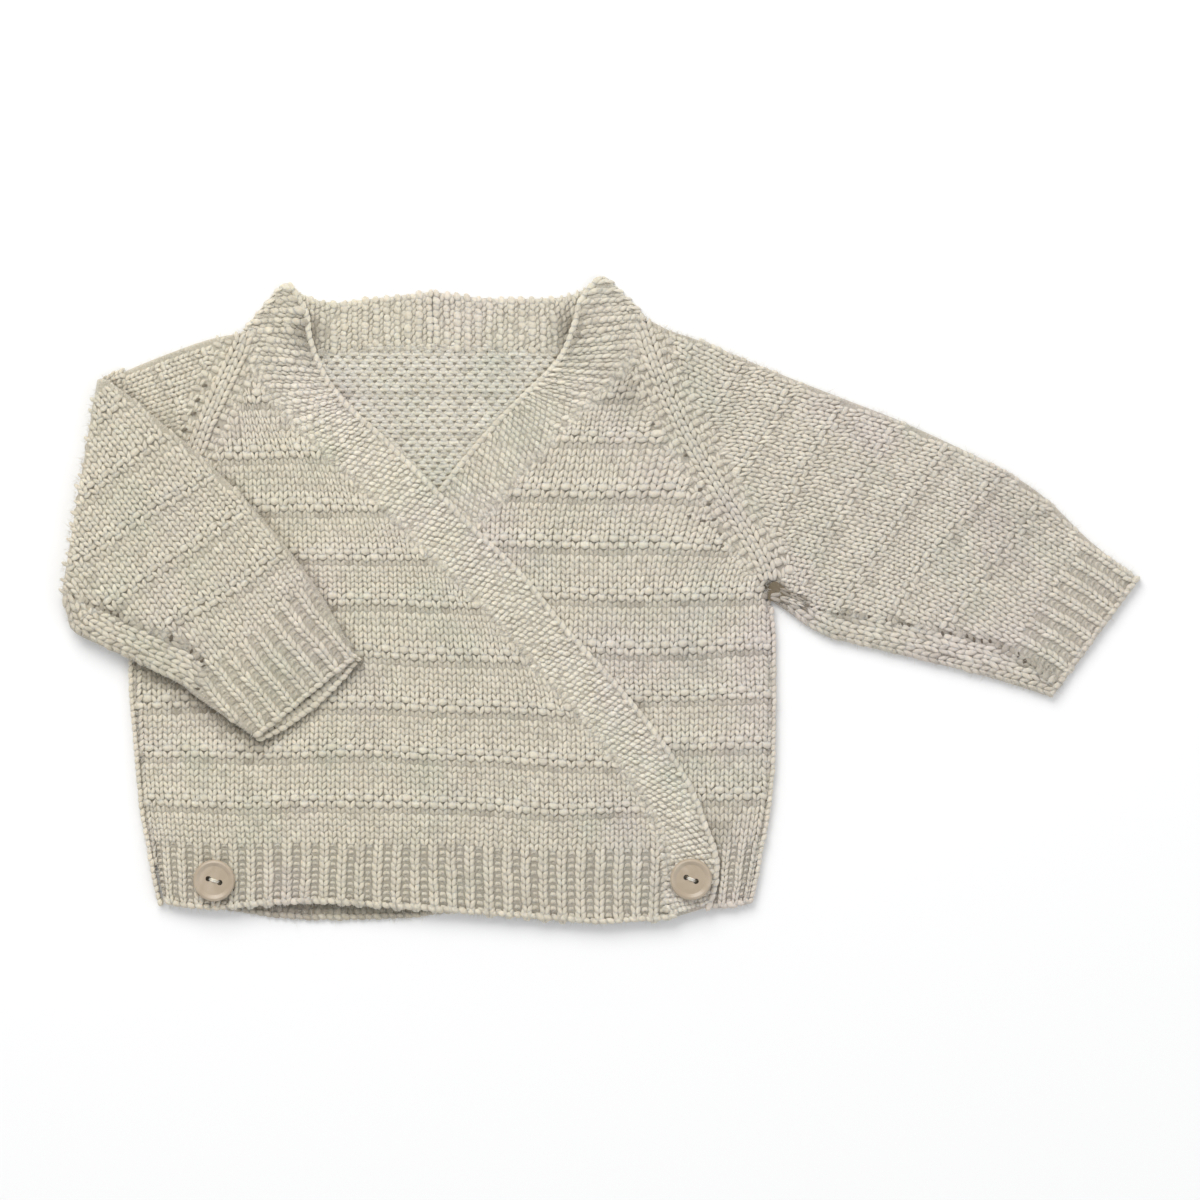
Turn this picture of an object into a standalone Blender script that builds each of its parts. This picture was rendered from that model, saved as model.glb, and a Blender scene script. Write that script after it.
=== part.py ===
"""Hand-knitted baby cardigan with raglan sleeves, a wrap front, garter stitch bands and rib edges.

The garment lies on its back on a table. The wearer's right front crosses over the left front.
The left sleeve is stretched out to the side and the right sleeve is folded back over the front.
Every piece of knitting is a wall of its own, and neighbours at a seam stay SEAM_GAP apart.
X runs across the garment, Y from the hem towards the neck and Z up from the table.
All sizes are in millimetres until the points are written to a mesh.
"""

import math

import bmesh
import bpy

MILLIMETRE = 0.001

# ---- Thicknesses and levels ----
WALL = 1.6
SEAM_GAP = 0.3
BACK_LEVEL = 0.0
FRONT_LEVEL = BACK_LEVEL + WALL + SEAM_GAP
OVERLAP_RISE = WALL + SEAM_GAP
RIB_HEIGHT = 0.5
RIDGE_HEIGHT = 0.4
GARTER_HEIGHT = 0.45

# The top front climbs onto the hidden edge of the under front along a soft slope.
CLIMB_WIDTH = 30.0
CLIMB_LEAD = 7.0

# A sleeve is a flattened tube: two walls with a slit between them.
SLEEVE_SLIT = 0.3
SLEEVE_HALF = WALL + SLEEVE_SLIT / 2
FOLDED_SLEEVE_LIFT = WALL + RIB_HEIGHT + SEAM_GAP

# ---- Knitting ----
RIB_PROFILE = (("share", "rise"), (0.0, 0.0), (0.14, 1.0), (0.48, 1.0), (0.62, 0.0))
GARTER_PITCH = 4.3
RIDGE_HALF_TOP = 1.7
RIDGE_HALF_FOOT = 3.2
WELT_TOP = -96.0
WELT_MIDDLE = -109.0
HEM_LEVEL = -120.0
BACK_NECK_LEVEL = 99.0
RIGHT_FRONT_TOP = 104.5
LEFT_FRONT_TOP = 108.5
TOP_FRONT_RIBS = 28
UNDER_FRONT_RIBS = 2

# Rows near the hem and the neck follow those edges, and the effect fades over this distance.
EDGE_FADE = 50.0
LARGEST_ROW = 7.5
TOP_FRONT_CELLS = 14
UNDER_FRONT_CELLS = 6
BACK_ROWS = 15
BACK_LOW_LEVELS = (-20.0, -45.0, -70.0, -95.0, -109.0, -120.0)
BACK_END_SHARES = (0.0, 0.012, 0.03, 0.05, 0.07, 0.1)
BACK_MIDDLE_SHARES = (0.15, 0.25, 0.4, 0.5, 0.6, 0.75, 0.85)

# Gaps measured along a row are wider where the seam runs at a slant to it.
BAND_SEAM_GAP = 1.2 * SEAM_GAP
NECK_SEAM_GAP = 2.0 * SEAM_GAP
LEFT_RAGLAN_GAP = 1.3 * SEAM_GAP
RIGHT_RAGLAN_GAP = 2.4 * SEAM_GAP

RIGHT_FRONT_RIDGES = (83.2, 61.2, 40.0, 20.4, 0.4, -21.2, -41.6, -60.8, -81.0)
LEFT_FRONT_RIDGES = (82.0, 66.0, 44.0, 23.6, 2.4, -19.6, -38.4, -58.0, -78.0)

# ---- Outlines ----
# Raglan line from the neck to the underarm, then the side down to the hem.
RIGHT_OUTLINE = (
    ("x", "y"),
    (-141.8, 107.4),
    (-144.0, 100.0),
    (-150.0, 87.2),
    (-156.2, 73.6),
    (-161.6, 60.0),
    (-168.2, 43.6),
    (-175.2, 28.0),
    (-182.0, 14.0),
    (-186.4, 0.0),
    (-186.8, -12.0),
    (-186.0, -40.0),
    (-184.4, -56.0),
    (-182.4, -80.0),
    (-180.0, -94.0),
    (-176.0, -115.2),
    (-174.4, -120.8),
)
LEFT_OUTLINE = (
    ("x", "y"),
    (16.0, 113.6),
    (19.2, 102.0),
    (26.0, 84.0),
    (36.0, 64.0),
    (48.0, 44.0),
    (59.2, 26.0),
    (66.4, 12.0),
    (67.2, 2.0),
    (67.6, -6.0),
    (68.4, -16.0),
    (68.4, -56.0),
    (67.2, -76.0),
    (65.6, -88.0),
    (63.2, -100.0),
    (61.2, -112.0),
    (58.8, -121.2),
)
FRONT_HEM = (
    ("x", "y"),
    (-174.4, -120.8),
    (-168.0, -122.4),
    (-152.0, -123.6),
    (-136.0, -122.0),
    (-112.0, -121.2),
    (-80.0, -123.2),
    (-48.0, -125.6),
    (-16.0, -128.0),
    (0.0, -129.2),
    (16.0, -128.4),
    (30.0, -126.8),
)
UNDER_HEM = (("x", "y"), (-140.0, -121.2), (0.0, -122.0), (46.0, -123.2), (59.0, -121.2))
BACK_HEM = (
    ("x", "y"),
    (-174.4, -120.4),
    (-160.0, -122.4),
    (-146.0, -124.4),
    (-120.0, -127.6),
    (-80.0, -127.2),
    (-62.0, -125.2),
    (-32.0, -123.2),
    (20.0, -122.4),
    (58.8, -121.2),
)

# ---- Bands: the free edge and the edge that is sewn to the garment, row by row ----
RIGHT_NECK_ROWS = (
    ("free_x", "free_y", "seam_x", "seam_y"),
    (-66.95, 123.2, -66.95, 101.6),
    (-80.0, 121.6, -80.0, 101.2),
    (-94.0, 120.0, -94.0, 100.8),
    (-108.0, 118.8, -108.0, 100.4),
    (-118.0, 121.6, -120.0, 100.8),
    (-125.2, 125.6, -140.4, 107.6),
)
LEFT_NECK_ROWS = (
    ("free_x", "free_y", "seam_x", "seam_y"),
    (-66.65, 123.2, -66.65, 101.6),
    (-48.0, 120.8, -48.0, 100.8),
    (-28.0, 120.4, -28.0, 100.4),
    (-14.0, 121.2, -10.0, 100.4),
    (-6.0, 124.4, 4.0, 102.8),
    (0.8, 127.9, 14.8, 114.4),
)
RIGHT_BAND_ROWS = (
    ("free_x", "free_y", "seam_x", "seam_y"),
    (-125.2, 125.6, -140.4, 107.6),
    (-118.8, 115.2, -138.8, 100.0),
    (-116.8, 103.2, -135.6, 90.4),
    (-111.2, 89.2, -128.8, 78.0),
    (-102.0, 76.8, -116.4, 64.0),
    (-88.0, 64.0, -101.6, 50.8),
    (-70.0, 46.0, -83.2, 32.8),
    (-52.0, 28.0, -64.8, 14.8),
    (-32.0, 8.8, -45.2, -4.4),
    (-16.0, -11.2, -30.0, -22.0),
    (1.2, -30.0, -12.4, -41.6),
    (18.0, -50.0, 3.6, -60.8),
    (33.2, -72.0, 17.6, -80.0),
    (40.8, -90.0, 24.8, -95.2),
    (45.6, -106.0, 28.0, -108.8),
    (42.4, -122.8, 28.8, -126.8),
)
LEFT_BAND_ROWS = (
    ("free_x", "free_y", "seam_x", "seam_y"),
    (0.8, 127.9, 14.8, 114.4),
    (-6.4, 119.2, 14.4, 106.0),
    (-9.2, 108.8, 11.2, 96.0),
    (-15.2, 95.2, 1.2, 84.0),
    (-28.0, 82.0, -13.6, 70.4),
    (-40.8, 69.2, -26.8, 55.6),
    (-54.0, 54.0, -38.8, 42.4),
    (-64.0, 41.2, -49.6, 30.0),
    (-76.0, 28.0, -63.2, 14.8),
    (-95.2, 8.8, -82.0, -4.4),
    (-110.0, -11.2, -96.0, -22.0),
    (-124.0, -30.0, -110.4, -41.6),
    (-135.2, -50.0, -120.8, -60.8),
    (-144.0, -72.0, -128.4, -80.0),
    (-148.0, -90.0, -132.0, -95.2),
    (-149.6, -106.0, -133.2, -108.8),
    (-150.0, -119.2, -133.6, -121.2),
)
BAND_SHARES = (0.0, 1 / 3, 2 / 3, 1.0)
BAND_PLAIN_STEP = 4
TIP_ANGLES = (45, 90, 135)
# Garter ridges of the back neck stop before the folded tips cover them.
NECK_RIDGES_FROM = -112.0
NECK_RIDGES_TO = -18.0

# ---- Sleeves ----
# Rows of knitting, each from the lower edge to the top edge. The first OPEN_ROWS lie in the
# raglan head, where the front and back of the sleeve end on the garment.
LEFT_SLEEVE_ROWS = (
    ("low_x", "low_y", "top_x", "top_y"),
    (16.4, 113.6, 20.4, 113.8),
    (26.8, 82.8, 40.0, 104.4),
    (36.0, 64.0, 59.2, 96.4),
    (49.6, 41.6, 78.8, 87.6),
    (62.8, 19.6, 98.4, 80.0),
    (66.8, 2.4, 108.8, 76.0),
    (75.2, -4.8, 120.8, 71.2),
    (89.6, -14.0, 140.0, 62.4),
    (110.4, -19.6, 161.2, 52.0),
    (130.0, -24.4, 178.4, 40.4),
    (154.0, -30.4, 194.8, 24.4),
    (180.6, -38.8, 215.2, 8.0),
)
OPEN_ROWS = 6
LEFT_SLEEVE_RIDGES = (1, 2, 3, 4, 6, 7, 8, 9)
RIDGE_ROW_SHARES = (("share_of_row", "rise"), (-0.15, 0.0), (-0.08, 1.0), (0.08, 1.0), (0.15, 0.0))
CUFF_ROW = 10
# The slit starts this much further in where the tube closes at the underarm.
UNDERARM_INSET = 2.5

# Stations of the folded sleeve: from the raglan to the fold, and from the fold to the cuff.
RIGHT_SLEEVE_TO_FOLD = (
    ("low_x", "low_y", "top_x", "top_y"),
    (-186.4, 6.0, -142.4, 106.8),
    (-192.0, 0.0, -156.0, 104.2),
    (-200.0, -1.0, -172.0, 98.6),
    (-206.0, 1.0, -186.0, 93.0),
    (-211.6, 1.6, -197.2, 88.0),
)
RIGHT_SLEEVE_FROM_FOLD = (
    ("low_x", "low_y", "top_x", "top_y"),
    (-211.6, 1.6, -197.2, 88.0),
    (-211.2, -11.2, -190.0, 83.2),
    (-198.0, -18.6, -180.0, 74.8),
    (-186.4, -24.0, -158.0, 56.4),
    (-168.0, -33.2, -135.2, 33.2),
    (-160.8, -38.8, -112.8, 4.8),
    (-136.8, -55.2, -97.2, -22.8),
)
HEAD_STEPS = 6
FOLD_ANGLES = (30, 60, 90, 120, 150)
CUFF_RIBS = 8
SLEEVE_COLUMNS = 8
# The far wall of the folded cuff shows a little beyond the near one.
CUFF_OVERHANG = 3.4

# ---- Buttons ----
BUTTON_RADIUS = 8.3
BUTTON_PROFILE = (
    ("share_of_radius", "height"),
    (0.0, 0.0),
    (0.86, 0.0),
    (1.0, 0.8),
    (1.0, 1.7),
    (0.95, 2.4),
    (0.87, 2.6),
    (0.79, 2.3),
    (0.70, 1.9),
    (0.0, 1.8),
)
BUTTON_STEPS = 36
HOLE_RADIUS = 1.1
BUTTONS = (
    ("name", "x", "y", "hole_spacing", "hole_turn"),
    ("button_side", -153.8, -111.8, 4.8, -18.4),
    ("button_band", 36.3, -111.3, 4.2, -21.7),
)


def rows_of(table):
    """The rows of a table without its line of column names."""
    return table[1:]


def soft_step(value):
    """0 below 0, 1 above 1, and an S-shaped rise between."""
    value = min(1.0, max(0.0, value))
    return value * value * (3 - 2 * value)


def mix(start, end, share):
    """The number or point a share of the way from start to end."""
    if isinstance(start, tuple):
        return tuple(a + (b - a) * share for a, b in zip(start, end))
    return start + (end - start) * share


def smooth_path(points, steps=8):
    """A Catmull-Rom curve through the points, with the given number of steps to a span."""
    last = len(points) - 1
    path = []
    for index in range(last):
        before = points[max(index - 1, 0)]
        start = points[index]
        end = points[index + 1]
        after = points[min(index + 2, last)]
        for step in range(steps):
            t = step / steps
            path.append(tuple(
                0.5 * (2 * b + (c - a) * t + (2 * a - 5 * b + 4 * c - d) * t ** 2
                       + (3 * b - a - 3 * c + d) * t ** 3)
                for a, b, c, d in zip(before, start, end, after)))
    path.append(points[last])
    return path


def lookup(path, value, key, result):
    """Read one coordinate of a path where its other coordinate has the given value."""
    for start, end in zip(path, path[1:]):
        low, high = sorted((start[key], end[key]))
        if low <= value <= high and high > low:
            return mix(start[result], end[result], (value - start[key]) / (end[key] - start[key]))
    nearest = min((path[0], path[-1]), key=lambda point: abs(point[key] - value))
    return nearest[result]


def x_at(path, y):
    """Where a path that runs down the garment has the height y."""
    return lookup(path, y, 1, 0)


def y_at(path, x):
    """Where a path that runs across the garment has the position x."""
    return lookup(path, x, 0, 1)


RIGHT_SIDE_PATH = smooth_path(rows_of(RIGHT_OUTLINE))
LEFT_SIDE_PATH = smooth_path(rows_of(LEFT_OUTLINE))
FRONT_HEM_PATH = smooth_path(rows_of(FRONT_HEM))
UNDER_HEM_PATH = smooth_path(rows_of(UNDER_HEM))
BACK_HEM_PATH = smooth_path(rows_of(BACK_HEM))
RIGHT_BAND_PATH = smooth_path(rows_of(RIGHT_BAND_ROWS))
LEFT_BAND_PATH = smooth_path(rows_of(LEFT_BAND_ROWS))
RIGHT_NECK_PATH = smooth_path(rows_of(RIGHT_NECK_ROWS))
LEFT_NECK_PATH = smooth_path(rows_of(LEFT_NECK_ROWS))


def edge_of(path, side):
    """One edge of a band path as plain points."""
    if side == "free":
        return [(row[0], row[1]) for row in path]
    return [(row[2], row[3]) for row in path]


TOP_EDGE = edge_of(RIGHT_BAND_PATH, "free")
TOP_SEAM = edge_of(RIGHT_BAND_PATH, "seam")
UNDER_EDGE = edge_of(LEFT_BAND_PATH, "free")
UNDER_SEAM = edge_of(LEFT_BAND_PATH, "seam")
NECK_SEAM = list(reversed(edge_of(RIGHT_NECK_PATH, "seam"))) + edge_of(LEFT_NECK_PATH, "seam")


def top_level(x, y):
    """Underside of the top front and its band: low at the side seam, raised over the under front."""
    beyond = x - x_at(UNDER_EDGE, y) + CLIMB_WIDTH + CLIMB_LEAD
    return FRONT_LEVEL + OVERLAP_RISE * soft_step(beyond / CLIMB_WIDTH)


def in_view(x, y):
    """1 where the under front shows beside the top band, fading to 0 beneath it."""
    return soft_step((x - x_at(TOP_EDGE, y) - 1.0) / 3.0)


# ---- Skins: rows of points joined into closed walls ----

def new_skin():
    """An empty set of points and faces."""
    return {"points": [], "faces": []}


def add_row(skin, row):
    """Add a row of (key, point) pairs; the answer pairs each key with its point's number."""
    chain = []
    for key, point in row:
        chain.append((key, len(skin["points"])))
        skin["points"].append(point)
    return chain


def bridge(skin, first, second):
    """Fill the strip between two chains with one face between each pair of keys they share."""
    first_keys = [key for key, _ in first]
    second_keys = [key for key, _ in second]
    shared = [key for key in first_keys if key in second_keys]
    for start, end in zip(shared, shared[1:]):
        there = [number for _, number in first[first_keys.index(start):first_keys.index(end) + 1]]
        back = [number for _, number in second[second_keys.index(start):second_keys.index(end) + 1]]
        loop = []
        for number in there + back[::-1]:
            if number not in loop:
                loop.append(number)
        if len(loop) > 2:
            skin["faces"].append(loop)


def bridge_rows(skin, chains):
    """Fill the surface between each chain and the next."""
    for first, second in zip(chains, chains[1:]):
        bridge(skin, first, second)


def slab(upper_rows, lower_rows):
    """A wall from an upper and a lower sheet of rows, closed round all four sides."""
    skin = new_skin()
    upper = [(key, add_row(skin, row)) for key, row in upper_rows]
    lower = [(key, add_row(skin, row)) for key, row in lower_rows]
    bridge_rows(skin, [chain for _, chain in upper])
    bridge_rows(skin, [chain for _, chain in lower])
    bridge(skin, upper[0][1], lower[0][1])
    bridge(skin, upper[-1][1], lower[-1][1])
    for side in (0, -1):
        upper_side = [(key, chain[side][1]) for key, chain in upper]
        lower_side = [(key, chain[side][1]) for key, chain in lower]
        bridge(skin, upper_side, lower_side)
    return skin


def tube(outer_rows, inner_rows, open_rows):
    """A flattened sleeve wall, open at both ends.

    The first open_rows rows are arcs that end on the raglan; the others close into loops.
    """
    skin = new_skin()
    sheets = []
    for rows in (outer_rows, inner_rows):
        chains = []
        for index, row in enumerate(rows):
            if index < open_rows:
                chains.append(add_row(skin, row))
            else:
                chain = add_row(skin, row[:-1])
                chains.append(chain + [(row[-1][0], chain[0][1])])
        bridge_rows(skin, chains)
        sheets.append(chains)
    outer, inner = sheets
    bridge(skin, outer[0], inner[0])
    bridge(skin, outer[-1], inner[-1])
    if open_rows:
        for side in (0, -1):
            outer_side = [(row, outer[row][side][1]) for row in range(open_rows + 1)]
            inner_side = [(row, inner[row][side][1]) for row in range(open_rows + 1)]
            bridge(skin, outer_side, inner_side)
    return skin


# ---- Panels ----

def panel_point(across, share, level, hem_path, neck_path):
    """A point of a panel's plan, on a row that follows the hem or the neck where it is near one."""
    near_hem = soft_step(1 - (level - HEM_LEVEL) / EDGE_FADE)
    near_neck = soft_step(1 - (BACK_NECK_LEVEL - level) / EDGE_FADE) if neck_path else 0.0
    y = level
    x = across(y, share)
    for _ in range(3):
        y = level + near_hem * (y_at(hem_path, x) - HEM_LEVEL)
        if neck_path:
            y += near_neck * (y_at(neck_path, x) - NECK_SEAM_GAP - BACK_NECK_LEVEL)
        x = across(y, share)
    return x, y


def even_shares(cells):
    """Keys of evenly spaced columns."""
    return [round(index / cells, 6) for index in range(cells + 1)]


def rib_shares(ribs, start=0.0, end=1.0):
    """Keys of the columns of a stretch of rib, each with its rise."""
    columns = []
    for rib in range(ribs):
        for share, rise in rows_of(RIB_PROFILE):
            columns.append((round(mix(start, end, (rib + share) / ribs), 6), rise))
    columns.append((round(end, 6), 0.0))
    return columns


def front_levels(top, ridges):
    """Heights of a front's rows above the welt, each with its share of a ridge's rise."""
    levels = [(top, 0.0)]
    for ridge in ridges:
        start = levels[-1][0]
        span = start - (ridge + RIDGE_HALF_FOOT)
        fill = math.ceil(span / LARGEST_ROW) - 1
        for index in range(fill):
            levels.append((round(start - span * (index + 1) / (fill + 1), 3), 0.0))
        levels.append((ridge + RIDGE_HALF_FOOT, 0.0))
        levels.append((ridge + RIDGE_HALF_TOP, 1.0))
        levels.append((ridge - RIDGE_HALF_TOP, 1.0))
        levels.append((ridge - RIDGE_HALF_FOOT, 0.0))
    return levels


def front_panel(across, keys, ribs, top, ridges, level_at, hem_path, relief):
    """A front: ridges of purl across it and rib along the hem, raised over a plain inside."""
    upper_rows = []
    lower_rows = []

    def row(level, columns, height, rise_of):
        points = []
        for key in columns:
            x, y = panel_point(across, key, level, hem_path, None)
            points.append((key, (x, y, level_at(x, y) + height + rise_of(key, x, y))))
        return points

    for level, rise in front_levels(top, ridges):
        upper_rows.append((level, row(
            level, keys, WALL, lambda key, x, y: RIDGE_HEIGHT * rise * relief(key, x, y))))
        if rise == 0.0:
            lower_rows.append((level, row(level, keys, 0.0, lambda key, x, y: 0.0)))
    collar = WELT_TOP + RIDGE_HALF_FOOT
    upper_rows.append((collar, row(collar, keys, WALL, lambda key, x, y: 0.0)))
    lower_rows.append((collar, row(collar, keys, 0.0, lambda key, x, y: 0.0)))
    rise_at = dict(ribs)
    columns = sorted(set(keys) | set(rise_at))
    for level in (WELT_TOP, WELT_MIDDLE, HEM_LEVEL):
        upper_rows.append((level, row(
            level, columns, WALL,
            lambda key, x, y: RIB_HEIGHT * rise_at.get(key, 0.0) * relief(key, x, y))))
    for level in (WELT_MIDDLE, HEM_LEVEL):
        lower_rows.append((level, row(level, keys, 0.0, lambda key, x, y: 0.0)))
    return slab(upper_rows, lower_rows)


def right_front():
    """The top front, from the right side seam to the seam of the top band."""
    def across(y, share):
        return mix(x_at(RIGHT_SIDE_PATH, y), x_at(TOP_SEAM, y) - BAND_SEAM_GAP, share)

    return front_panel(
        across, even_shares(TOP_FRONT_CELLS), rib_shares(TOP_FRONT_RIBS), RIGHT_FRONT_TOP,
        RIGHT_FRONT_RIDGES, top_level, FRONT_HEM_PATH, lambda key, x, y: 1.0)


def left_front():
    """The under front, raised only where the top band leaves it in view."""
    hidden = 0.4
    shown = 0.46
    cells = UNDER_FRONT_CELLS
    keys = [0.0, hidden / 2, hidden]
    keys += [round(mix(shown, 1.0, cell / cells), 6) for cell in range(cells + 1)]

    def across(y, share):
        left = x_at(UNDER_SEAM, y) + BAND_SEAM_GAP
        right = x_at(LEFT_SIDE_PATH, y)
        width = right - left
        edge = max(left + 0.2 * width, x_at(TOP_EDGE, y) + 1.0)
        clear = edge + min(3.0, 0.15 * width)
        if share <= hidden:
            return mix(left, edge, share / hidden)
        if share <= shown:
            return mix(edge, clear, (share - hidden) / (shown - hidden))
        return mix(clear, right, (share - shown) / (1.0 - shown))

    return front_panel(
        across, keys, rib_shares(UNDER_FRONT_RIBS, shown, 1.0), LEFT_FRONT_TOP,
        LEFT_FRONT_RIDGES, lambda x, y: FRONT_LEVEL, UNDER_HEM_PATH,
        lambda key, x, y: 1.0 if key >= shown else 0.0)


def back():
    """The back panel: flat on the table, plain where the fronts cover it."""
    far_ends = tuple(1 - share for share in BACK_END_SHARES[::-1])
    keys = BACK_END_SHARES + BACK_MIDDLE_SHARES + far_ends
    levels = [BACK_NECK_LEVEL - LARGEST_ROW * row for row in range(BACK_ROWS)]
    levels += BACK_LOW_LEVELS

    def across(y, share):
        return mix(x_at(RIGHT_SIDE_PATH, y), x_at(LEFT_SIDE_PATH, y), share)

    sheets = []
    for height in (WALL, 0.0):
        rows = []
        for level in levels:
            points = []
            for key in keys:
                x, y = panel_point(across, key, level, BACK_HEM_PATH, NECK_SEAM)
                points.append((key, (x, y, BACK_LEVEL + height)))
            rows.append((level, points))
        sheets.append(rows)
    return slab(sheets[0], sheets[1])


# ---- Bands ----

def garter_rows(path, half_pitch):
    """Sections of a band at every crest and valley of its garter ridges."""
    middles = [((row[0] + row[2]) / 2, (row[1] + row[3]) / 2) for row in path]
    lengths = [0.0]
    for start, end in zip(middles, middles[1:]):
        lengths.append(lengths[-1] + math.dist(start, end))
    count = 2 * round(lengths[-1] / half_pitch / 2)
    rows = []
    span = 0
    for index in range(count + 1):
        wanted = lengths[-1] * index / count
        while span < len(lengths) - 2 and lengths[span + 1] < wanted:
            span += 1
        share = (wanted - lengths[span]) / (lengths[span + 1] - lengths[span])
        rows.append((mix(path[span], path[span + 1], min(1.0, share)), index % 2))
    return rows


def band_section(row, height_of):
    """One section of a band: points from the free edge to the seam."""
    points = []
    for share in BAND_SHARES:
        x, y = mix((row[0], row[1]), (row[2], row[3]), share)
        points.append((share, (x, y, height_of(x, y))))
    return points


def fold_section(row, angle, radius, side):
    """A section of a band where it turns over at a neck tip, about the line of the fold.

    The side is 1 for the right tip and -1 for the left one: it turns the fold outwards.
    """
    turn = math.radians(angle)
    length = math.dist(row[:2], row[2:])
    outward = (side * (row[3] - row[1]) / length, side * (row[0] - row[2]) / length)
    axis_height = FRONT_LEVEL - SEAM_GAP / 2
    points = []
    for share in BAND_SHARES:
        x, y = mix((row[0], row[1]), (row[2], row[3]), share)
        reach = radius * math.sin(turn)
        height = axis_height - radius * math.cos(turn)
        points.append((share, (x + outward[0] * reach, y + outward[1] * reach, height)))
    return points


def band(neck_path, front_path, side, level_at, shown):
    """A strip of garter stitch from the middle of the back neck, over the tip and down the front.

    Its outer face lies on the table behind the neck, and faces up on the front.
    """
    outer_rows = []
    inner_rows = []
    number = 0
    neck = garter_rows(neck_path, GARTER_PITCH / 2)
    for row, crest in neck:
        def neck_height(x, y, crest=crest):
            seen = soft_step((x - NECK_RIDGES_FROM) / 4) * soft_step((NECK_RIDGES_TO - x) / 4)
            return WALL + GARTER_HEIGHT * crest * seen
        inner_rows.append((number, band_section(row, neck_height)))
        outer_rows.append((number, band_section(row, lambda x, y: 0.0)))
        number += 1
    fold = front_path[0]
    for angle in TIP_ANGLES:
        outer_rows.append((number, fold_section(fold, angle, WALL + SEAM_GAP / 2, side)))
        inner_rows.append((number, fold_section(fold, angle, SEAM_GAP / 2, side)))
        number += 1
    front = garter_rows(front_path, GARTER_PITCH / 2)
    for index, (row, crest) in enumerate(front):
        def front_height(x, y, crest=crest):
            return level_at(x, y) + WALL + GARTER_HEIGHT * crest * shown(x, y)
        plain = index % BAND_PLAIN_STEP == 0 or index == len(front) - 1
        middle = mix((row[0], row[1]), (row[2], row[3]), 0.5)
        free = (row[0], row[1])
        seam = (row[2], row[3])
        in_sight = max(shown(*middle), shown(*free), shown(*seam)) > 0
        if plain or in_sight:
            outer_rows.append((number, band_section(row, front_height)))
        if plain:
            inner_rows.append((number, band_section(row, level_at)))
        number += 1
    return slab(outer_rows, inner_rows)


def right_band():
    """The band on top: its lower end finishes at the hem under a button."""
    return band(RIGHT_NECK_PATH, RIGHT_BAND_PATH, 1, top_level, lambda x, y: 1.0)


def left_band():
    """The band underneath: it runs on hidden below the top front."""
    return band(LEFT_NECK_PATH, LEFT_BAND_PATH, -1, lambda x, y: FRONT_LEVEL, in_view)


# ---- Sleeves ----

def sleeve_columns(ribbed):
    """Keys across one face of a sleeve, each with its place and its rise.

    A place is ("low", d) or ("top", d), d half-thicknesses in from that edge, or ("share", s)
    of the flat width between the two rounded edges.
    """
    columns = [(0.0, ("low", 0.0), 0.0), (0.02, ("low", 0.3), 0.0)]
    if ribbed:
        shares = rib_shares(CUFF_RIBS)
    else:
        shares = [(share, 0.0) for share in even_shares(SLEEVE_COLUMNS)]
    for share, rise in shares:
        columns.append((round(0.05 + 0.9 * share, 6), ("share", share), rise))
    columns.append((0.98, ("top", 0.3), 0.0))
    columns.append((1.0, ("top", 0.0), 0.0))
    return columns


def round_off(inset):
    """Height of a semicircular edge, as a share of its radius, at an inset from its outermost line."""
    if inset >= 1:
        return 1.0
    return math.sqrt(1 - (1 - inset) ** 2)


def sleeve_row(place, width, is_open, ribbed_face, ridge_rise):
    """One outer row round a sleeve: across the front face, round the top edge and back behind.

    place(distance, height) gives the point at a distance from the lower edge and a height from
    the middle of the tube. Key 0 to 1 is the front face and 1 to 2 the back face. The ribbed
    face is 1, -1 or neither, and a purl ridge lifts the flat of the front face.
    """
    row = []
    for face in (1, -1):
        ribbed = face == ribbed_face
        columns = sleeve_columns(ribbed)
        if face < 0:
            columns = columns[::-1][1:]
        for key, (kind, amount), rise in columns:
            low_inset = 1.0
            top_inset = 1.0
            if kind == "low":
                distance = amount * SLEEVE_HALF
                low_inset = 1.0 if is_open else amount
            elif kind == "top":
                distance = width - amount * SLEEVE_HALF
                top_inset = amount
            else:
                distance = mix(SLEEVE_HALF, width - SLEEVE_HALF, amount)
            height = SLEEVE_HALF * round_off(low_inset) * round_off(top_inset)
            height += rise * RIB_HEIGHT
            if face > 0 and kind == "share":
                height += ridge_rise
            full_key = key if face > 0 else round(2 - key, 6)
            row.append((full_key, place(distance, face * height)))
    return row


INNER_KEYS = (0.0, 0.05, 0.5, 0.95, 1.0, 1.05, 1.5, 1.95, 2.0)


def inner_sleeve_row(place, width, is_open, extra_inset=0.0):
    """One inner row round a sleeve's slit."""
    low = 0.0 if is_open else WALL + extra_inset
    far = width - WALL
    slit = SLEEVE_SLIT / 2
    row = []
    for key in INNER_KEYS:
        face = 1 if key <= 1 else -1
        share = key if key <= 1 else 2 - key
        if share == 0:
            distance = low
            height = slit if is_open else 0.0
        elif share == 1:
            distance = far
            height = 0.0
        else:
            distance = mix(low + 0.4, far - 0.4, (share - 0.05) / 0.9)
            height = slit
        row.append((key, place(distance, face * height)))
    return row


def line_place(low, top, middle_at, face=1):
    """A place function for a straight row of sleeve, flat apart from the height of its middle."""
    width = math.dist(low, top)

    def place(distance, height):
        share = distance / width
        x, y = mix(low, top, share)
        return x, y, middle_at(x, y) + face * height

    return place, width


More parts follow.
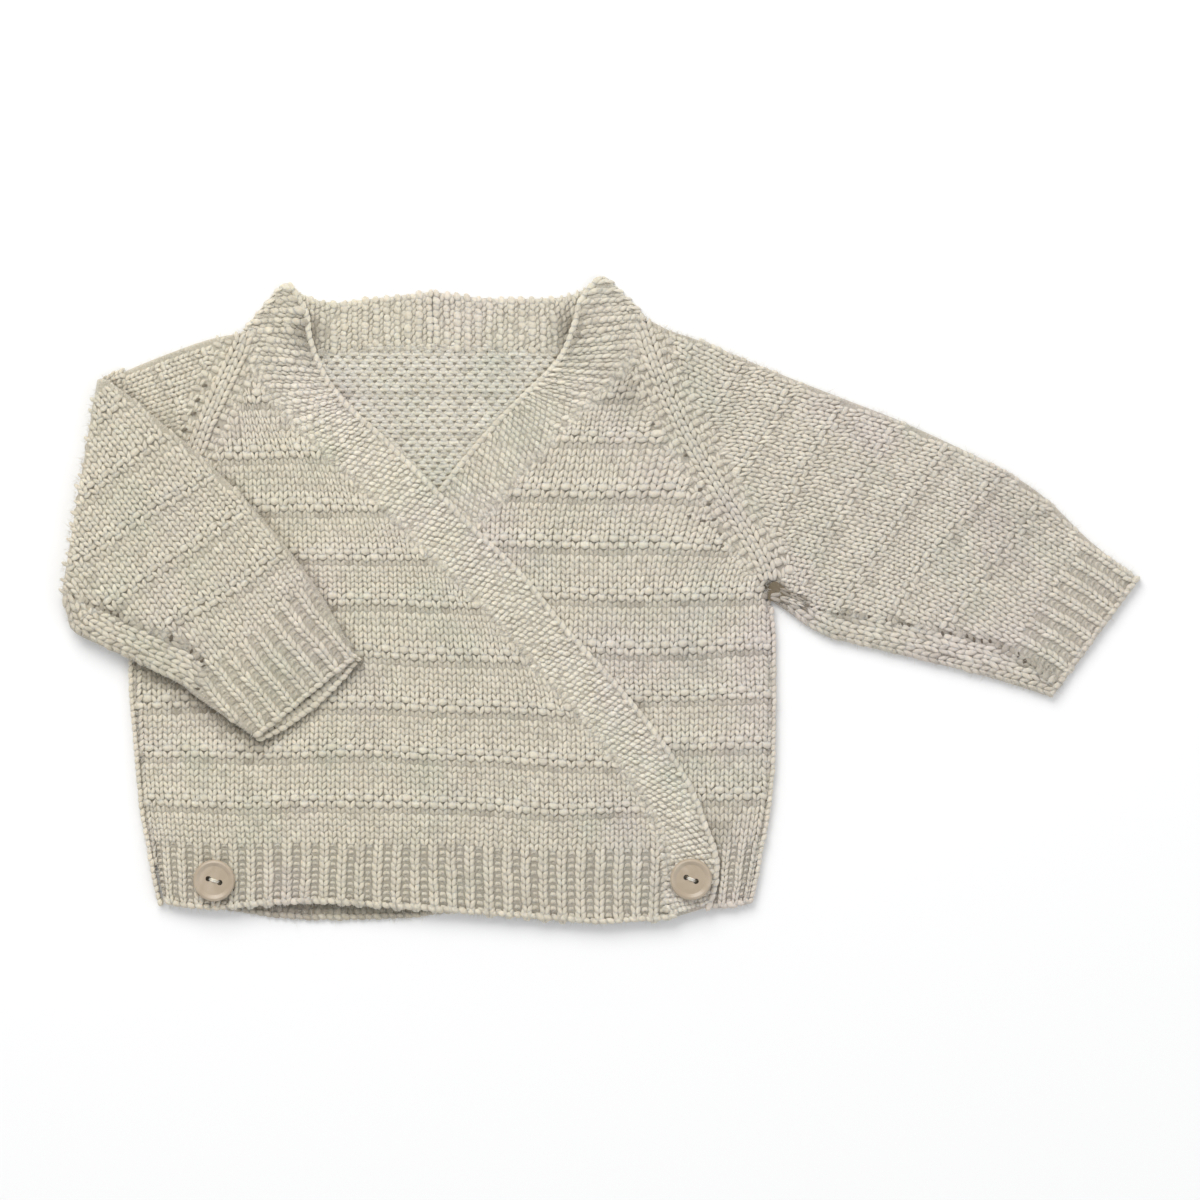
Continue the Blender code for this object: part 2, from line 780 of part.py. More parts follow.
def left_sleeve():
    """The stretched sleeve, in rows that follow its knitting from the raglan head to the cuff."""
    rows = [((row[0], row[1]), (row[2], row[3])) for row in rows_of(LEFT_SLEEVE_ROWS)]
    outer_rows = []
    inner_rows = []

    def middle_at(x, y):
        return BACK_LEVEL + SLEEVE_HALF

    lows = smooth_path([low for low, _ in rows])
    tops = smooth_path([top for _, top in rows])
    levels = [(0.0, 0.0)]
    for row in range(1, len(rows)):
        offsets = rows_of(RIDGE_ROW_SHARES) if row in LEFT_SLEEVE_RIDGES else ((0.0, 0.0),)
        first = row + offsets[0][0]
        if row != OPEN_ROWS:
            levels.append((mix(levels[-1][0], first, 0.5), 0.0))
        levels += [(row + share, rise * RIDGE_HEIGHT) for share, rise in offsets]
    open_count = 0
    for position, ridge_rise in levels:
        is_open = position <= OPEN_ROWS - 1
        low = at_position(lows, position)
        top = at_position(tops, position)
        if is_open:
            low = (x_at(LEFT_SIDE_PATH, low[1]) + LEFT_RAGLAN_GAP, low[1])
        place, width = line_place(low, top, middle_at)
        ribbed_face = 1 if position > CUFF_ROW else 0
        outer_rows.append(sleeve_row(place, width, is_open, ribbed_face, ridge_rise))
        first_loop = not is_open and len(inner_rows) == open_count
        extra_inset = UNDERARM_INSET if first_loop else 0.0
        inner_rows.append(inner_sleeve_row(place, width, is_open, extra_inset))
        open_count += is_open
    return tube(outer_rows, inner_rows, open_count)


def at_position(path, position, steps=8):
    """The point of a smooth path at a position counted in its table's rows."""
    place = position * steps
    index = min(int(place), len(path) - 2)
    return mix(path[index], path[index + 1], place - index)


def right_sleeve():
    """The folded sleeve: flat out to the fold, round it, and back over the front to the cuff."""
    outer_rows = []
    inner_rows = []
    lower_middle = BACK_LEVEL + SLEEVE_HALF

    def upper_middle(x, y):
        return top_level(x, y) + FOLDED_SLEEVE_LIFT + SLEEVE_HALF

    def add(place, width, ribbed_face):
        outer_rows.append(sleeve_row(place, width, False, ribbed_face, 0.0))
        inner_rows.append(inner_sleeve_row(place, width, False))

    to_fold = [((row[0], row[1]), (row[2], row[3])) for row in rows_of(RIGHT_SLEEVE_TO_FOLD)]
    low, top = to_fold[0]
    fold_low, fold_top = to_fold[-1]
    lows = smooth_path([row[0] for row in to_fold])
    tops = smooth_path([row[1] for row in to_fold])
    for step in range(HEAD_STEPS + 1):
        position = step * (len(to_fold) - 1) / HEAD_STEPS
        start = at_position(lows, position)
        end = at_position(tops, position)
        width = math.dist(start, end)
        bow = 1 - step / HEAD_STEPS

        def place(distance, height, start=start, end=end, width=width, bow=bow):
            share = distance / width
            x, y = mix(start, end, share)
            curved = x_at(RIGHT_SIDE_PATH, mix(low[1], top[1], share)) - RIGHT_RAGLAN_GAP
            straight = mix(low[0], top[0], share)
            return x + bow * (curved - straight), y, lower_middle + height

        add(place, width, 0)

    across = (fold_top[0] - fold_low[0], fold_top[1] - fold_low[1])
    fold_width = math.hypot(*across)
    outward = (-across[1] / fold_width, across[0] / fold_width)
    upper_fold = FRONT_LEVEL + FOLDED_SLEEVE_LIFT + SLEEVE_HALF
    axis_height = (lower_middle + upper_fold) / 2
    middle_radius = (upper_fold - lower_middle) / 2
    for angle in FOLD_ANGLES:
        turn = math.radians(angle)

        def place(distance, height, turn=turn):
            x, y = mix(fold_low, fold_top, distance / fold_width)
            radius = middle_radius - height
            reach = radius * math.sin(turn)
            return (x + outward[0] * reach, y + outward[1] * reach,
                    axis_height - radius * math.cos(turn))

        add(place, fold_width, 0)

    from_fold = [((row[0], row[1]), (row[2], row[3])) for row in rows_of(RIGHT_SLEEVE_FROM_FOLD)]
    lows = smooth_path([row[0] for row in from_fold])
    tops = smooth_path([row[1] for row in from_fold])
    last = len(from_fold) - 1
    steps = 2 * last
    for step in range(steps + 1):
        position = last * step / steps
        place, width = line_place(
            at_position(lows, position), at_position(tops, position), upper_middle, -1)
        if step == steps:
            place = overhanging(place, width, at_position(lows, last - 0.5), lows[-1])
        add(place, width, -1 if position > last - 1 else 0)
    return tube(outer_rows, inner_rows, 0)


def overhanging(place, width, before, end):
    """Let the wall underneath reach a little further than the one on top at the folded cuff."""
    length = math.dist(before, end)
    along = ((end[0] - before[0]) / length, (end[1] - before[1]) / length)

    def shifted(distance, height):
        x, y, z = place(distance, height)
        share = distance / width
        edge = min(1.0, 12 * share * (1 - share))
        extra = CUFF_OVERHANG * edge * soft_step((height + 0.1) / 1.0)
        return x + along[0] * extra, y + along[1] * extra, z

    return shifted


# ---- Writing the pieces ----

def new_collection(name, is_hidden):
    """A collection in the scene, left out of renders if it only holds cutters."""
    collection = bpy.data.collections.new(name)
    collection.hide_render = is_hidden
    bpy.context.scene.collection.children.link(collection)
    return collection


def new_material(name, colour, roughness):
    """A plain surface for one piece."""
    material = bpy.data.materials.new(name)
    material.use_nodes = True
    shader = material.node_tree.nodes["Principled BSDF"]
    shader.inputs["Base Color"].default_value = (*colour, 1.0)
    shader.inputs["Roughness"].default_value = roughness
    return material


def write_piece(name, skin, material, collection):
    """Write a skin as a named object with its faces turned outwards."""
    mesh = bpy.data.meshes.new(name)
    points = [tuple(value * MILLIMETRE for value in point) for point in skin["points"]]
    mesh.from_pydata(points, [], skin["faces"])
    mesh.validate()
    shell = bmesh.new()
    shell.from_mesh(mesh)
    bmesh.ops.recalc_face_normals(shell, faces=shell.faces)
    shell.to_mesh(mesh)
    shell.free()
    mesh.shade_smooth()
    mesh.set_sharp_from_angle(angle=math.radians(40))
    mesh.materials.append(material)
    piece = bpy.data.objects.new(name, mesh)
    collection.objects.link(piece)
    return piece


def hole_cutter(name, x, y, height, collection):
    """A round rod that cuts one sewing hole through a button."""
    mesh = bpy.data.meshes.new(name)
    rod = bmesh.new()
    bmesh.ops.create_cone(
        rod, cap_ends=True, segments=20, radius1=HOLE_RADIUS * MILLIMETRE,
        radius2=HOLE_RADIUS * MILLIMETRE, depth=8 * MILLIMETRE)
    rod.to_mesh(mesh)
    rod.free()
    cutter = bpy.data.objects.new(name, mesh)
    cutter.location = (x * MILLIMETRE, y * MILLIMETRE, height * MILLIMETRE)
    cutter.display_type = "WIRE"
    cutter.hide_render = True
    collection.objects.link(cutter)
    return cutter


def button(name, x, y, spacing, turn, material, collection, cutters):
    """A round button with a raised rim and two sewing holes, lying on the rib."""
    rest = max(
        top_level(x + BUTTON_RADIUS * math.cos(angle), y + BUTTON_RADIUS * math.sin(angle))
        for angle in (index * math.pi / 6 for index in range(12)))
    rest += WALL + RIB_HEIGHT + SEAM_GAP
    mesh = bpy.data.meshes.new(name)
    profile = [
        (share * BUTTON_RADIUS * MILLIMETRE, 0.0, height * MILLIMETRE)
        for share, height in rows_of(BUTTON_PROFILE)]
    mesh.from_pydata(profile, [(i, i + 1) for i in range(len(profile) - 1)], [])
    piece = bpy.data.objects.new(name, mesh)
    piece.location = (x * MILLIMETRE, y * MILLIMETRE, rest * MILLIMETRE)
    mesh.materials.append(material)
    collection.objects.link(piece)
    lathe = piece.modifiers.new("lathe", "SCREW")
    lathe.axis = "Z"
    lathe.steps = BUTTON_STEPS
    lathe.render_steps = BUTTON_STEPS
    lathe.use_merge_vertices = True
    lathe.merge_threshold = 0.00001
    lathe.use_normal_calculate = True
    angle = math.radians(turn)
    for side in (-1, 1):
        reach = side * spacing / 2
        cutter = hole_cutter(
            f"{name}_hole_{'a' if side < 0 else 'b'}",
            x + reach * math.cos(angle), y + reach * math.sin(angle), rest + 1, cutters)
        cut = piece.modifiers.new(cutter.name, "BOOLEAN")
        cut.operation = "DIFFERENCE"
        cut.solver = "EXACT"
        cut.object = cutter
    return piece


for old in list(bpy.data.objects):
    bpy.data.objects.remove(old, do_unlink=True)

PARTS = new_collection("baby_cardigan", False)
CUTTERS = new_collection("cutters", True)

CREAM = (0.62, 0.56, 0.44)
BUTTON_BEIGE = (0.44, 0.35, 0.25)

PIECES = (
    ("back", back),
    ("left_front", left_front),
    ("right_front", right_front),
    ("left_sleeve", left_sleeve),
    ("right_sleeve", right_sleeve),
    ("left_band", left_band),
    ("right_band", right_band),
)
for piece_name, make in PIECES:
    write_piece(piece_name, make(), new_material(f"{piece_name}_wool", CREAM, 0.9), PARTS)
for piece_name, centre_x, centre_y, hole_spacing, hole_turn in rows_of(BUTTONS):
    button(
        piece_name, centre_x, centre_y, hole_spacing, hole_turn,
        new_material(f"{piece_name}_plastic", BUTTON_BEIGE, 0.45), PARTS, CUTTERS)
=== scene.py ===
# %% [markdown]
# # A hand-knitted baby cardigan, laid out flat
#
# This lesson dresses a plain solid model of a baby's wrap cardigan. The solids give the true sizes
# and levels: a back, two fronts that cross, two sleeves, two garter stitch bands and two buttons.
# Here each knitted solid is replaced by a thin cloth shell with real stitches laid on it, loop by
# loop, because wool seen from close by is a relief of yarn and not a flat, printed cloth.

import bpy
import numpy as np
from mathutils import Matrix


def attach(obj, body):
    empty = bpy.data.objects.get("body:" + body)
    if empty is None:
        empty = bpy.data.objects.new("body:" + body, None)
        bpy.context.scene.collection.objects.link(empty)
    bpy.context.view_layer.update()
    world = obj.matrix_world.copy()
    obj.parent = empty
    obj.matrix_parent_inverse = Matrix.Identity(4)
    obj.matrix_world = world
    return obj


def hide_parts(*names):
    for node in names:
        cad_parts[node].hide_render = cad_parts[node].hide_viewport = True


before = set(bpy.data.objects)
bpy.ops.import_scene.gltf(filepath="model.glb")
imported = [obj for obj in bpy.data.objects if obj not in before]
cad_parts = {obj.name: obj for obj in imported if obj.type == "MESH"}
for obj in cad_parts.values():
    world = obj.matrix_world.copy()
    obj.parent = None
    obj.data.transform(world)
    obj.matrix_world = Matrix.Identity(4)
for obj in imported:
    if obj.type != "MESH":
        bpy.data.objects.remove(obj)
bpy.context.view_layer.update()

MM = 0.001

# %% [markdown]
# ## Curves and heights
#
# Every edge of the garment is a smooth curve through a few measured points, in millimetres, with X
# across the garment, Y from the hem to the neck and Z up from the table. A Catmull-Rom curve suits
# cloth, because it passes through its points and bends softly between them.

# %% Smooth curves
def smooth_curve(rows, steps=6):
    """A Catmull-Rom curve through the rows of a table.

    Between rows b and c, with a before and d after, and t from 0 to 1, it is half of
    2b + (c - a) t + (2a - 5b + 4c - d) t^2 + (3b - a - 3c + d) t^3.
    """
    p = np.asarray(rows, float)
    p = np.concatenate([p[:1], p, p[-1:]])
    a, b, c, d = p[:-3, None], p[1:-2, None], p[2:-1, None], p[3:, None]
    t = (np.arange(steps) / steps)[None, :, None]
    spans = 0.5 * (2 * b + (c - a) * t + (2 * a - 5 * b + 4 * c - d) * t ** 2
                   + (3 * b - a - 3 * c + d) * t ** 3)
    return np.concatenate([spans.reshape(-1, p.shape[1]), p[-2:-1]])


def read_off(curve, key, result, at):
    """One coordinate of a curve where its other coordinate has the given values."""
    order = np.argsort(curve[:, key], kind="stable")
    return np.interp(at, curve[order, key], curve[order, result])


def soft_step(value):
    """0 below 0, 1 above 1 and 3v^2 - 2v^3 between."""
    value = np.clip(value, 0.0, 1.0)
    return value * value * (3 - 2 * value)


def mix(start, end, share):
    """start + (end - start) * share."""
    return start + (end - start) * share


def arc_lengths(points):
    """Distance along a line of points, from its first point to each."""
    return np.concatenate([[0.0], np.cumsum(np.linalg.norm(np.diff(points, axis=0), axis=1))])


def spots(x, y, z):
    """Points from their coordinates, of which one may be a plain number."""
    return np.stack(np.broadcast_arrays(x, y, z), axis=-1)


# %% Edges of the garment
RIGHT_SIDE = smooth_curve([
    (-141.8, 107.4), (-144.0, 100.0), (-150.0, 87.2), (-156.2, 73.6), (-161.6, 60.0),
    (-168.2, 43.6), (-175.2, 28.0), (-182.0, 14.0), (-186.4, 0.0), (-186.8, -12.0),
    (-186.0, -40.0), (-184.4, -56.0), (-182.4, -80.0), (-180.0, -94.0), (-176.0, -115.2),
    (-174.4, -120.8)])
LEFT_SIDE = smooth_curve([
    (16.0, 113.6), (19.2, 102.0), (26.0, 84.0), (36.0, 64.0), (48.0, 44.0), (59.2, 26.0),
    (66.4, 12.0), (67.2, 2.0), (67.6, -6.0), (68.4, -16.0), (68.4, -56.0), (67.2, -76.0),
    (65.6, -88.0), (63.2, -100.0), (61.2, -112.0), (58.8, -121.2)])
FRONT_HEM = smooth_curve([
    (-174.4, -120.8), (-168.0, -122.4), (-152.0, -123.6), (-136.0, -122.0), (-112.0, -121.2),
    (-80.0, -123.2), (-48.0, -125.6), (-16.0, -128.0), (0.0, -129.2), (16.0, -128.4),
    (30.0, -126.8)])
UNDER_HEM = smooth_curve([(-140.0, -121.2), (0.0, -122.0), (46.0, -123.2), (59.0, -121.2)])
BACK_HEM = smooth_curve([
    (-174.4, -120.4), (-160.0, -122.4), (-146.0, -124.4), (-120.0, -127.6), (-80.0, -127.2),
    (-62.0, -125.2), (-32.0, -123.2), (20.0, -122.4), (58.8, -121.2)])
# Bands: x and y of the free edge, then of the edge sewn to the garment.
RIGHT_NECK = smooth_curve([
    (-66.95, 123.2, -66.95, 101.6), (-80.0, 121.6, -80.0, 101.2), (-94.0, 120.0, -94.0, 100.8),
    (-108.0, 118.8, -108.0, 100.4), (-118.0, 121.6, -120.0, 100.8),
    (-125.2, 125.6, -140.4, 107.6)])
LEFT_NECK = smooth_curve([
    (-66.65, 123.2, -66.65, 101.6), (-48.0, 120.8, -48.0, 100.8), (-28.0, 120.4, -28.0, 100.4),
    (-14.0, 121.2, -10.0, 100.4), (-6.0, 124.4, 4.0, 102.8), (0.8, 127.9, 14.8, 114.4)])
RIGHT_BAND = smooth_curve([
    (-125.2, 125.6, -140.4, 107.6), (-118.8, 115.2, -138.8, 100.0),
    (-116.8, 103.2, -135.6, 90.4), (-111.2, 89.2, -128.8, 78.0), (-102.0, 76.8, -116.4, 64.0),
    (-88.0, 64.0, -101.6, 50.8), (-70.0, 46.0, -83.2, 32.8), (-52.0, 28.0, -64.8, 14.8),
    (-32.0, 8.8, -45.2, -4.4), (-16.0, -11.2, -30.0, -22.0), (1.2, -30.0, -12.4, -41.6),
    (18.0, -50.0, 3.6, -60.8), (33.2, -72.0, 17.6, -80.0), (40.8, -90.0, 24.8, -95.2),
    (45.6, -106.0, 28.0, -108.8), (42.4, -122.8, 28.8, -126.8)])
LEFT_BAND = smooth_curve([
    (0.8, 127.9, 14.8, 114.4), (-6.4, 119.2, 14.4, 106.0), (-9.2, 108.8, 11.2, 96.0),
    (-15.2, 95.2, 1.2, 84.0), (-28.0, 82.0, -13.6, 70.4), (-40.8, 69.2, -26.8, 55.6),
    (-54.0, 54.0, -38.8, 42.4), (-64.0, 41.2, -49.6, 30.0), (-76.0, 28.0, -63.2, 14.8),
    (-95.2, 8.8, -82.0, -4.4), (-110.0, -11.2, -96.0, -22.0), (-124.0, -30.0, -110.4, -41.6),
    (-135.2, -50.0, -120.8, -60.8), (-144.0, -72.0, -128.4, -80.0),
    (-148.0, -90.0, -132.0, -95.2), (-149.6, -106.0, -133.2, -108.8),
    (-150.0, -119.2, -133.6, -121.2)])
print("edges:", len(RIGHT_SIDE), "points down the right side,",
      len(RIGHT_BAND), "down the top band")

# %% [markdown]
# The layers of a folded garment lie on each other. The back is the lowest. Both fronts lie on it,
# and the top front climbs a soft slope onto the under front. The sleeve that is folded back lies on
# top.

# %% Levels of the layers
WALL = 1.6
GAP = 0.3
FRONT_LEVEL = WALL + GAP
OVERLAP_RISE = WALL + GAP
CLIMB_WIDTH = 30.0
CLIMB_LEAD = 7.0
SLEEVE_HALF = 1.75
FOLDED_LIFT = 2.4


def top_level(x, y):
    """Underside of the top front: low at the side and raised over the hidden under front.

    It is the front's level plus the overlap's rise times a soft step of the distance past a line
    that runs beside the under front's free edge.
    """
    beyond = x - read_off(LEFT_BAND[:, :2], 1, 0, y) + CLIMB_WIDTH + CLIMB_LEAD
    return FRONT_LEVEL + OVERLAP_RISE * soft_step(beyond / CLIMB_WIDTH)


def flat(height):
    """A level surface."""
    return lambda x, y: height + 0 * x


def above(surface, height):
    """A surface at a height above another one."""
    return lambda x, y: surface(x, y) + height


table_level = flat(0.0)
under_level = flat(FRONT_LEVEL)
folded_low_level = above(top_level, FOLDED_LIFT)
folded_mid_level = above(folded_low_level, SLEEVE_HALF)
print("top front over the under front, mm:", float(top_level(-20.0, -20.0)) + WALL)

# %% [markdown]
# A stitch has to know whether it lies inside its piece and how near the edge is, because cloth
# rounds over at its edges. Asking that of every segment for every stitch is slow, so each outline
# gets a map of distances on a grid, once, and the stitches read the map.

# %% Distance maps
MAP_STEP = 0.8
MAP_X = np.arange(-228.0, 228.0, MAP_STEP)
MAP_Y = np.arange(-142.0, 142.0, MAP_STEP)


def distance_map(outline):
    """Signed distance to a closed outline at every point of a grid, positive inside.

    The nearest point of segment a to b is a + (b - a) t, with t = (p - a).(b - a) / |b - a|^2 kept
    in 0 to 1. A point is inside if a level line from it crosses the outline an odd number of times.
    """
    x, y = np.meshgrid(MAP_X, MAP_Y)
    nearest = np.full(x.shape, 1e9)
    inside = np.zeros(x.shape, bool)
    outline = np.asarray(outline)[:, :2]
    for (ax, ay), (bx, by) in zip(outline, np.roll(outline, -1, axis=0)):
        dx, dy = bx - ax, by - ay
        length = dx * dx + dy * dy
        if length < 1e-9:
            continue
        t = np.clip(((x - ax) * dx + (y - ay) * dy) / length, 0, 1)
        nearest = np.minimum(nearest, (x - ax - t * dx) ** 2 + (y - ay - t * dy) ** 2)
        if ay != by:
            inside ^= ((ay > y) != (by > y)) & (x < dx * (y - ay) / dy + ax)
    return np.where(inside, 1, -1) * np.sqrt(nearest)


def read_map(field, x, y):
    """A map's value at any points, as the weighted mean of the four grid points around each."""
    u = np.clip((x - MAP_X[0]) / MAP_STEP, 0, len(MAP_X) - 1.001)
    v = np.clip((y - MAP_Y[0]) / MAP_STEP, 0, len(MAP_Y) - 1.001)
    i, j = u.astype(int), v.astype(int)
    u, v = u - i, v - j
    return ((field[j, i] * (1 - u) + field[j, i + 1] * u) * (1 - v)
            + (field[j + 1, i] * (1 - u) + field[j + 1, i + 1] * u) * v)


def between(curve, key, low, high):
    """The part of a curve whose coordinate lies between two values."""
    return curve[(curve[:, key] >= low) & (curve[:, key] <= high)]


SLEEVE_TOP_EDGE = smooth_curve([
    (17.0, 113.4), (22.0, 110.8), (28.0, 108.2), (40.0, 104.0), (59.2, 96.0), (78.8, 87.4),
    (98.4, 79.8), (108.8, 76.0), (120.8, 71.2), (140.0, 62.4), (161.2, 52.0), (178.4, 40.4),
    (194.8, 24.4), (215.2, 8.0)])
SLEEVE_LOW_EDGE = smooth_curve([
    (66.8, 2.4), (75.2, -4.8), (89.6, -14.0), (110.4, -19.6), (130.0, -24.4), (154.0, -30.4),
    (180.6, -38.8)])
CREASE = smooth_curve([
    (-199.6, 88.6), (-202.6, 79.0), (-205.6, 62.0), (-208.8, 46.0), (-211.4, 30.0),
    (-214.0, 15.0), (-215.2, 4.0)])
FOLDED_LOW_EDGE = smooth_curve([
    (-215.2, 4.0), (-212.6, -5.0), (-209.6, -11.6), (-198.0, -18.6), (-186.4, -24.0),
    (-168.0, -33.2), (-160.8, -38.8), (-136.8, -55.2)])
FOLDED_TOP_EDGE = smooth_curve([
    (-199.6, 88.6), (-190.0, 83.2), (-180.0, 74.8), (-158.0, 56.4), (-135.2, 33.2),
    (-112.8, 4.8), (-97.2, -22.8)])
SHOULDER_EDGE = smooth_curve([
    (-199.6, 89.4), (-192.8, 91.6), (-184.0, 93.2), (-172.0, 98.6), (-156.0, 104.2),
    (-142.4, 107.4)])

# Underarm seams of the sleeves, a little inside their lower edges.
LEFT_SEAM = smooth_curve([
    (68.0, 5.2), (80.0, -0.6), (92.0, -5.2), (104.8, -6.4), (116.0, -8.2), (126.0, -10.4),
    (134.0, -12.8), (144.8, -14.4), (160.0, -18.4), (172.0, -26.0), (183.0, -33.6)])
FOLDED_SEAM = smooth_curve([
    (-212.0, 2.0), (-202.0, -2.0), (-192.0, -6.0), (-182.0, -11.2), (-174.0, -13.6),
    (-168.0, -16.4), (-161.0, -21.6), (-158.0, -28.0), (-161.0, -37.0)])

OUTLINES = {
    "right_front": [RIGHT_SIDE, FRONT_HEM, RIGHT_BAND[::-1, 2:]],
    "left_front": [LEFT_SIDE, UNDER_HEM[::-1], LEFT_BAND[::-1, 2:]],
    "back": [RIGHT_SIDE, BACK_HEM, LEFT_SIDE[::-1], LEFT_NECK[::-1, 2:], RIGHT_NECK[:, 2:]],
    "left_sleeve": [
        between(LEFT_SIDE, 1, 2.0, 114.0)[::-1], SLEEVE_TOP_EDGE, SLEEVE_LOW_EDGE[::-1]],
    "folded_sleeve": [FOLDED_TOP_EDGE, FOLDED_LOW_EDGE[::-1], CREASE[::-1]],
    "shoulder": [SHOULDER_EDGE, between(RIGHT_SIDE, 1, 0.0, 107.4), CREASE[::-1]],
    "top_band": [RIGHT_BAND[:, :2], RIGHT_BAND[::-1, 2:]],
    "under_band": [LEFT_BAND[:, :2], LEFT_BAND[::-1, 2:]],
    "left_wrap": [LEFT_SEAM, SLEEVE_LOW_EDGE[::-1]],
    "folded_wrap": [FOLDED_SEAM, between(FOLDED_LOW_EDGE, 1, -38.8, 4.0)[::-1]],
    # The sleeves run on past the raglans in these two, so that only their free edges round over.
    "left_sleeve_round": [
        [(-20.0, 114.0), (20.0, 114.0)], SLEEVE_TOP_EDGE, SLEEVE_LOW_EDGE[::-1], [(30.0, 20.0)]],
    "shoulder_round": [SHOULDER_EDGE, [(-100.0, 110.0), (-120.0, 0.0)], CREASE[::-1]],
    "left_seam": [LEFT_SEAM, LEFT_SEAM[::-1]],
    "folded_seam": [FOLDED_SEAM, FOLDED_SEAM[::-1]],
}
MAPS = {name: distance_map(np.concatenate(parts)) for name, parts in OUTLINES.items()}


def depth_in(name, x, y):
    """How far inside an outline a place lies, and negative outside."""
    return read_map(MAPS[name], x, y)


for name, field in MAPS.items():
    print(f"{name}: {np.count_nonzero(field > 0) * MAP_STEP ** 2 / 100:.0f} cm2")

# %% [markdown]
# ## From arrays to meshes
#
# All pieces are built from whole arrays. One helper turns points and faces into a mesh. A second
# makes a closed shell from two sheets of points, an upper and a lower one, joined round the border.

# %% Mesh helpers
def new_piece(name, points, faces, material, tone, uv):
    """A knitted piece at the origin, from points in mm and arrays of faces of one size each.

    Tone and uv are given for each point. The garment is one body, so every piece rides on it.
    """
    mesh = bpy.data.meshes.new(name)
    mesh.vertices.add(len(points))
    mesh.vertices.foreach_set("co", (np.asarray(points, np.float32) * MM).ravel())
    corners = np.concatenate([np.asarray(part, np.int32).ravel() for part in faces])
    sizes = np.concatenate([np.full(len(part), part.shape[1], np.int32) for part in faces])
    starts = np.concatenate([[0], np.cumsum(sizes)[:-1]])
    mesh.loops.add(len(corners))
    mesh.loops.foreach_set("vertex_index", corners)
    mesh.polygons.add(len(sizes))
    mesh.polygons.foreach_set("loop_start", starts.astype(np.int32))
    layer = mesh.uv_layers.new(name="yarn")
    layer.data.foreach_set("uv", uv[corners].astype(np.float32).ravel())
    attribute = mesh.attributes.new("tone", "FLOAT", "POINT")
    attribute.data.foreach_set("value", tone.astype(np.float32))
    mesh.update(calc_edges=True)
    mesh.validate()
    mesh.shade_smooth()
    mesh.materials.append(material)
    piece = bpy.data.objects.new(name, mesh)
    bpy.context.scene.collection.objects.link(piece)
    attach(piece, "root")
    print(f"{name}: {int((sizes - 2).sum())} triangles")
    return piece


def grid_faces(rows, columns, start=0, wrap=False):
    """Quads between the points of a grid of rows and columns, numbered row by row from start."""
    number = np.arange(rows * columns).reshape(rows, columns) + start
    if wrap:
        number = np.concatenate([number, number[:, :1]], axis=1)
    return np.stack([
        number[:-1, :-1], number[:-1, 1:], number[1:, 1:], number[1:, :-1]], axis=-1).reshape(-1, 4)


def closed_shell(upper, lower):
    """Points and quads of a shell between two grids of points of one size, closed round the border.

    The upper grid's quads face up where its columns run to the right and its rows away.
    """
    rows, columns = upper.shape[:2]
    count = rows * columns
    number = np.arange(count).reshape(rows, columns)
    rim = np.concatenate([number[0], number[1:, -1], number[-1, -2::-1], number[-2:0:-1, 0]])
    after = np.roll(rim, -1)
    sides = np.stack([rim, rim + count, after + count, after], axis=-1)
    under = grid_faces(rows, columns, count)[:, ::-1]
    points = np.concatenate([upper.reshape(-1, 3), lower.reshape(-1, 3)])
    return points, [grid_faces(rows, columns), under, sides]


# %% [markdown]
# ## Wool
#
# Baby yarn is a soft twist of a few fine plies in a warm cream. Its colour wanders a little,
# because the wool is dyed and washed, and its surface is a haze of fibres. One node group holds
# what every knitted piece shares: the colour with its patches, and the height of the plies. Each
# material then sets its own darkness, because yarn deep between stitches sees less light.

# %% Shader helpers
def add_node(tree, kind, inputs, **settings):
    """A shader node. An input gets a value, or a link where a socket is given for it."""
    node = tree.nodes.new("ShaderNode" + kind)
    for name, value in settings.items():
        setattr(node, name, value)
    for socket, value in inputs.items():
        if isinstance(value, bpy.types.NodeSocket):
            tree.links.new(value, node.inputs[socket])
        else:
            node.inputs[socket].default_value = value
    return node


def remap(tree, value, source, target=(0.0, 1.0), clamp=True):
    """A value brought from one range to another."""
    return add_node(tree, "MapRange", {
        "Value": value, "From Min": source[0], "From Max": source[1],
        "To Min": target[0], "To Max": target[1]}, clamp=clamp).outputs["Result"]


def blend(tree, kind, share, first, second):
    """Two colours blended in a share."""
    return add_node(tree, "Mix", {"Factor": share, "A": first, "B": second},
                    data_type="RGBA", blend_type=kind).outputs["Result"]


def new_material(name, inputs):
    """A material with values for its Principled shader, its node tree and the shader."""
    material = bpy.data.materials.new(name)
    material.use_nodes = True
    shader = material.node_tree.nodes["Principled BSDF"]
    for socket, value in inputs.items():
        shader.inputs[socket].default_value = value
    return material, material.node_tree, shader


# %% The wool's node group
COOL_CAST = (1.0, 1.0, 1.055, 1.0)
# Brown of deep painted shade in folds.
PAINTED_SHADE_BROWN = (0.20, 0.155, 0.095, 1.0)


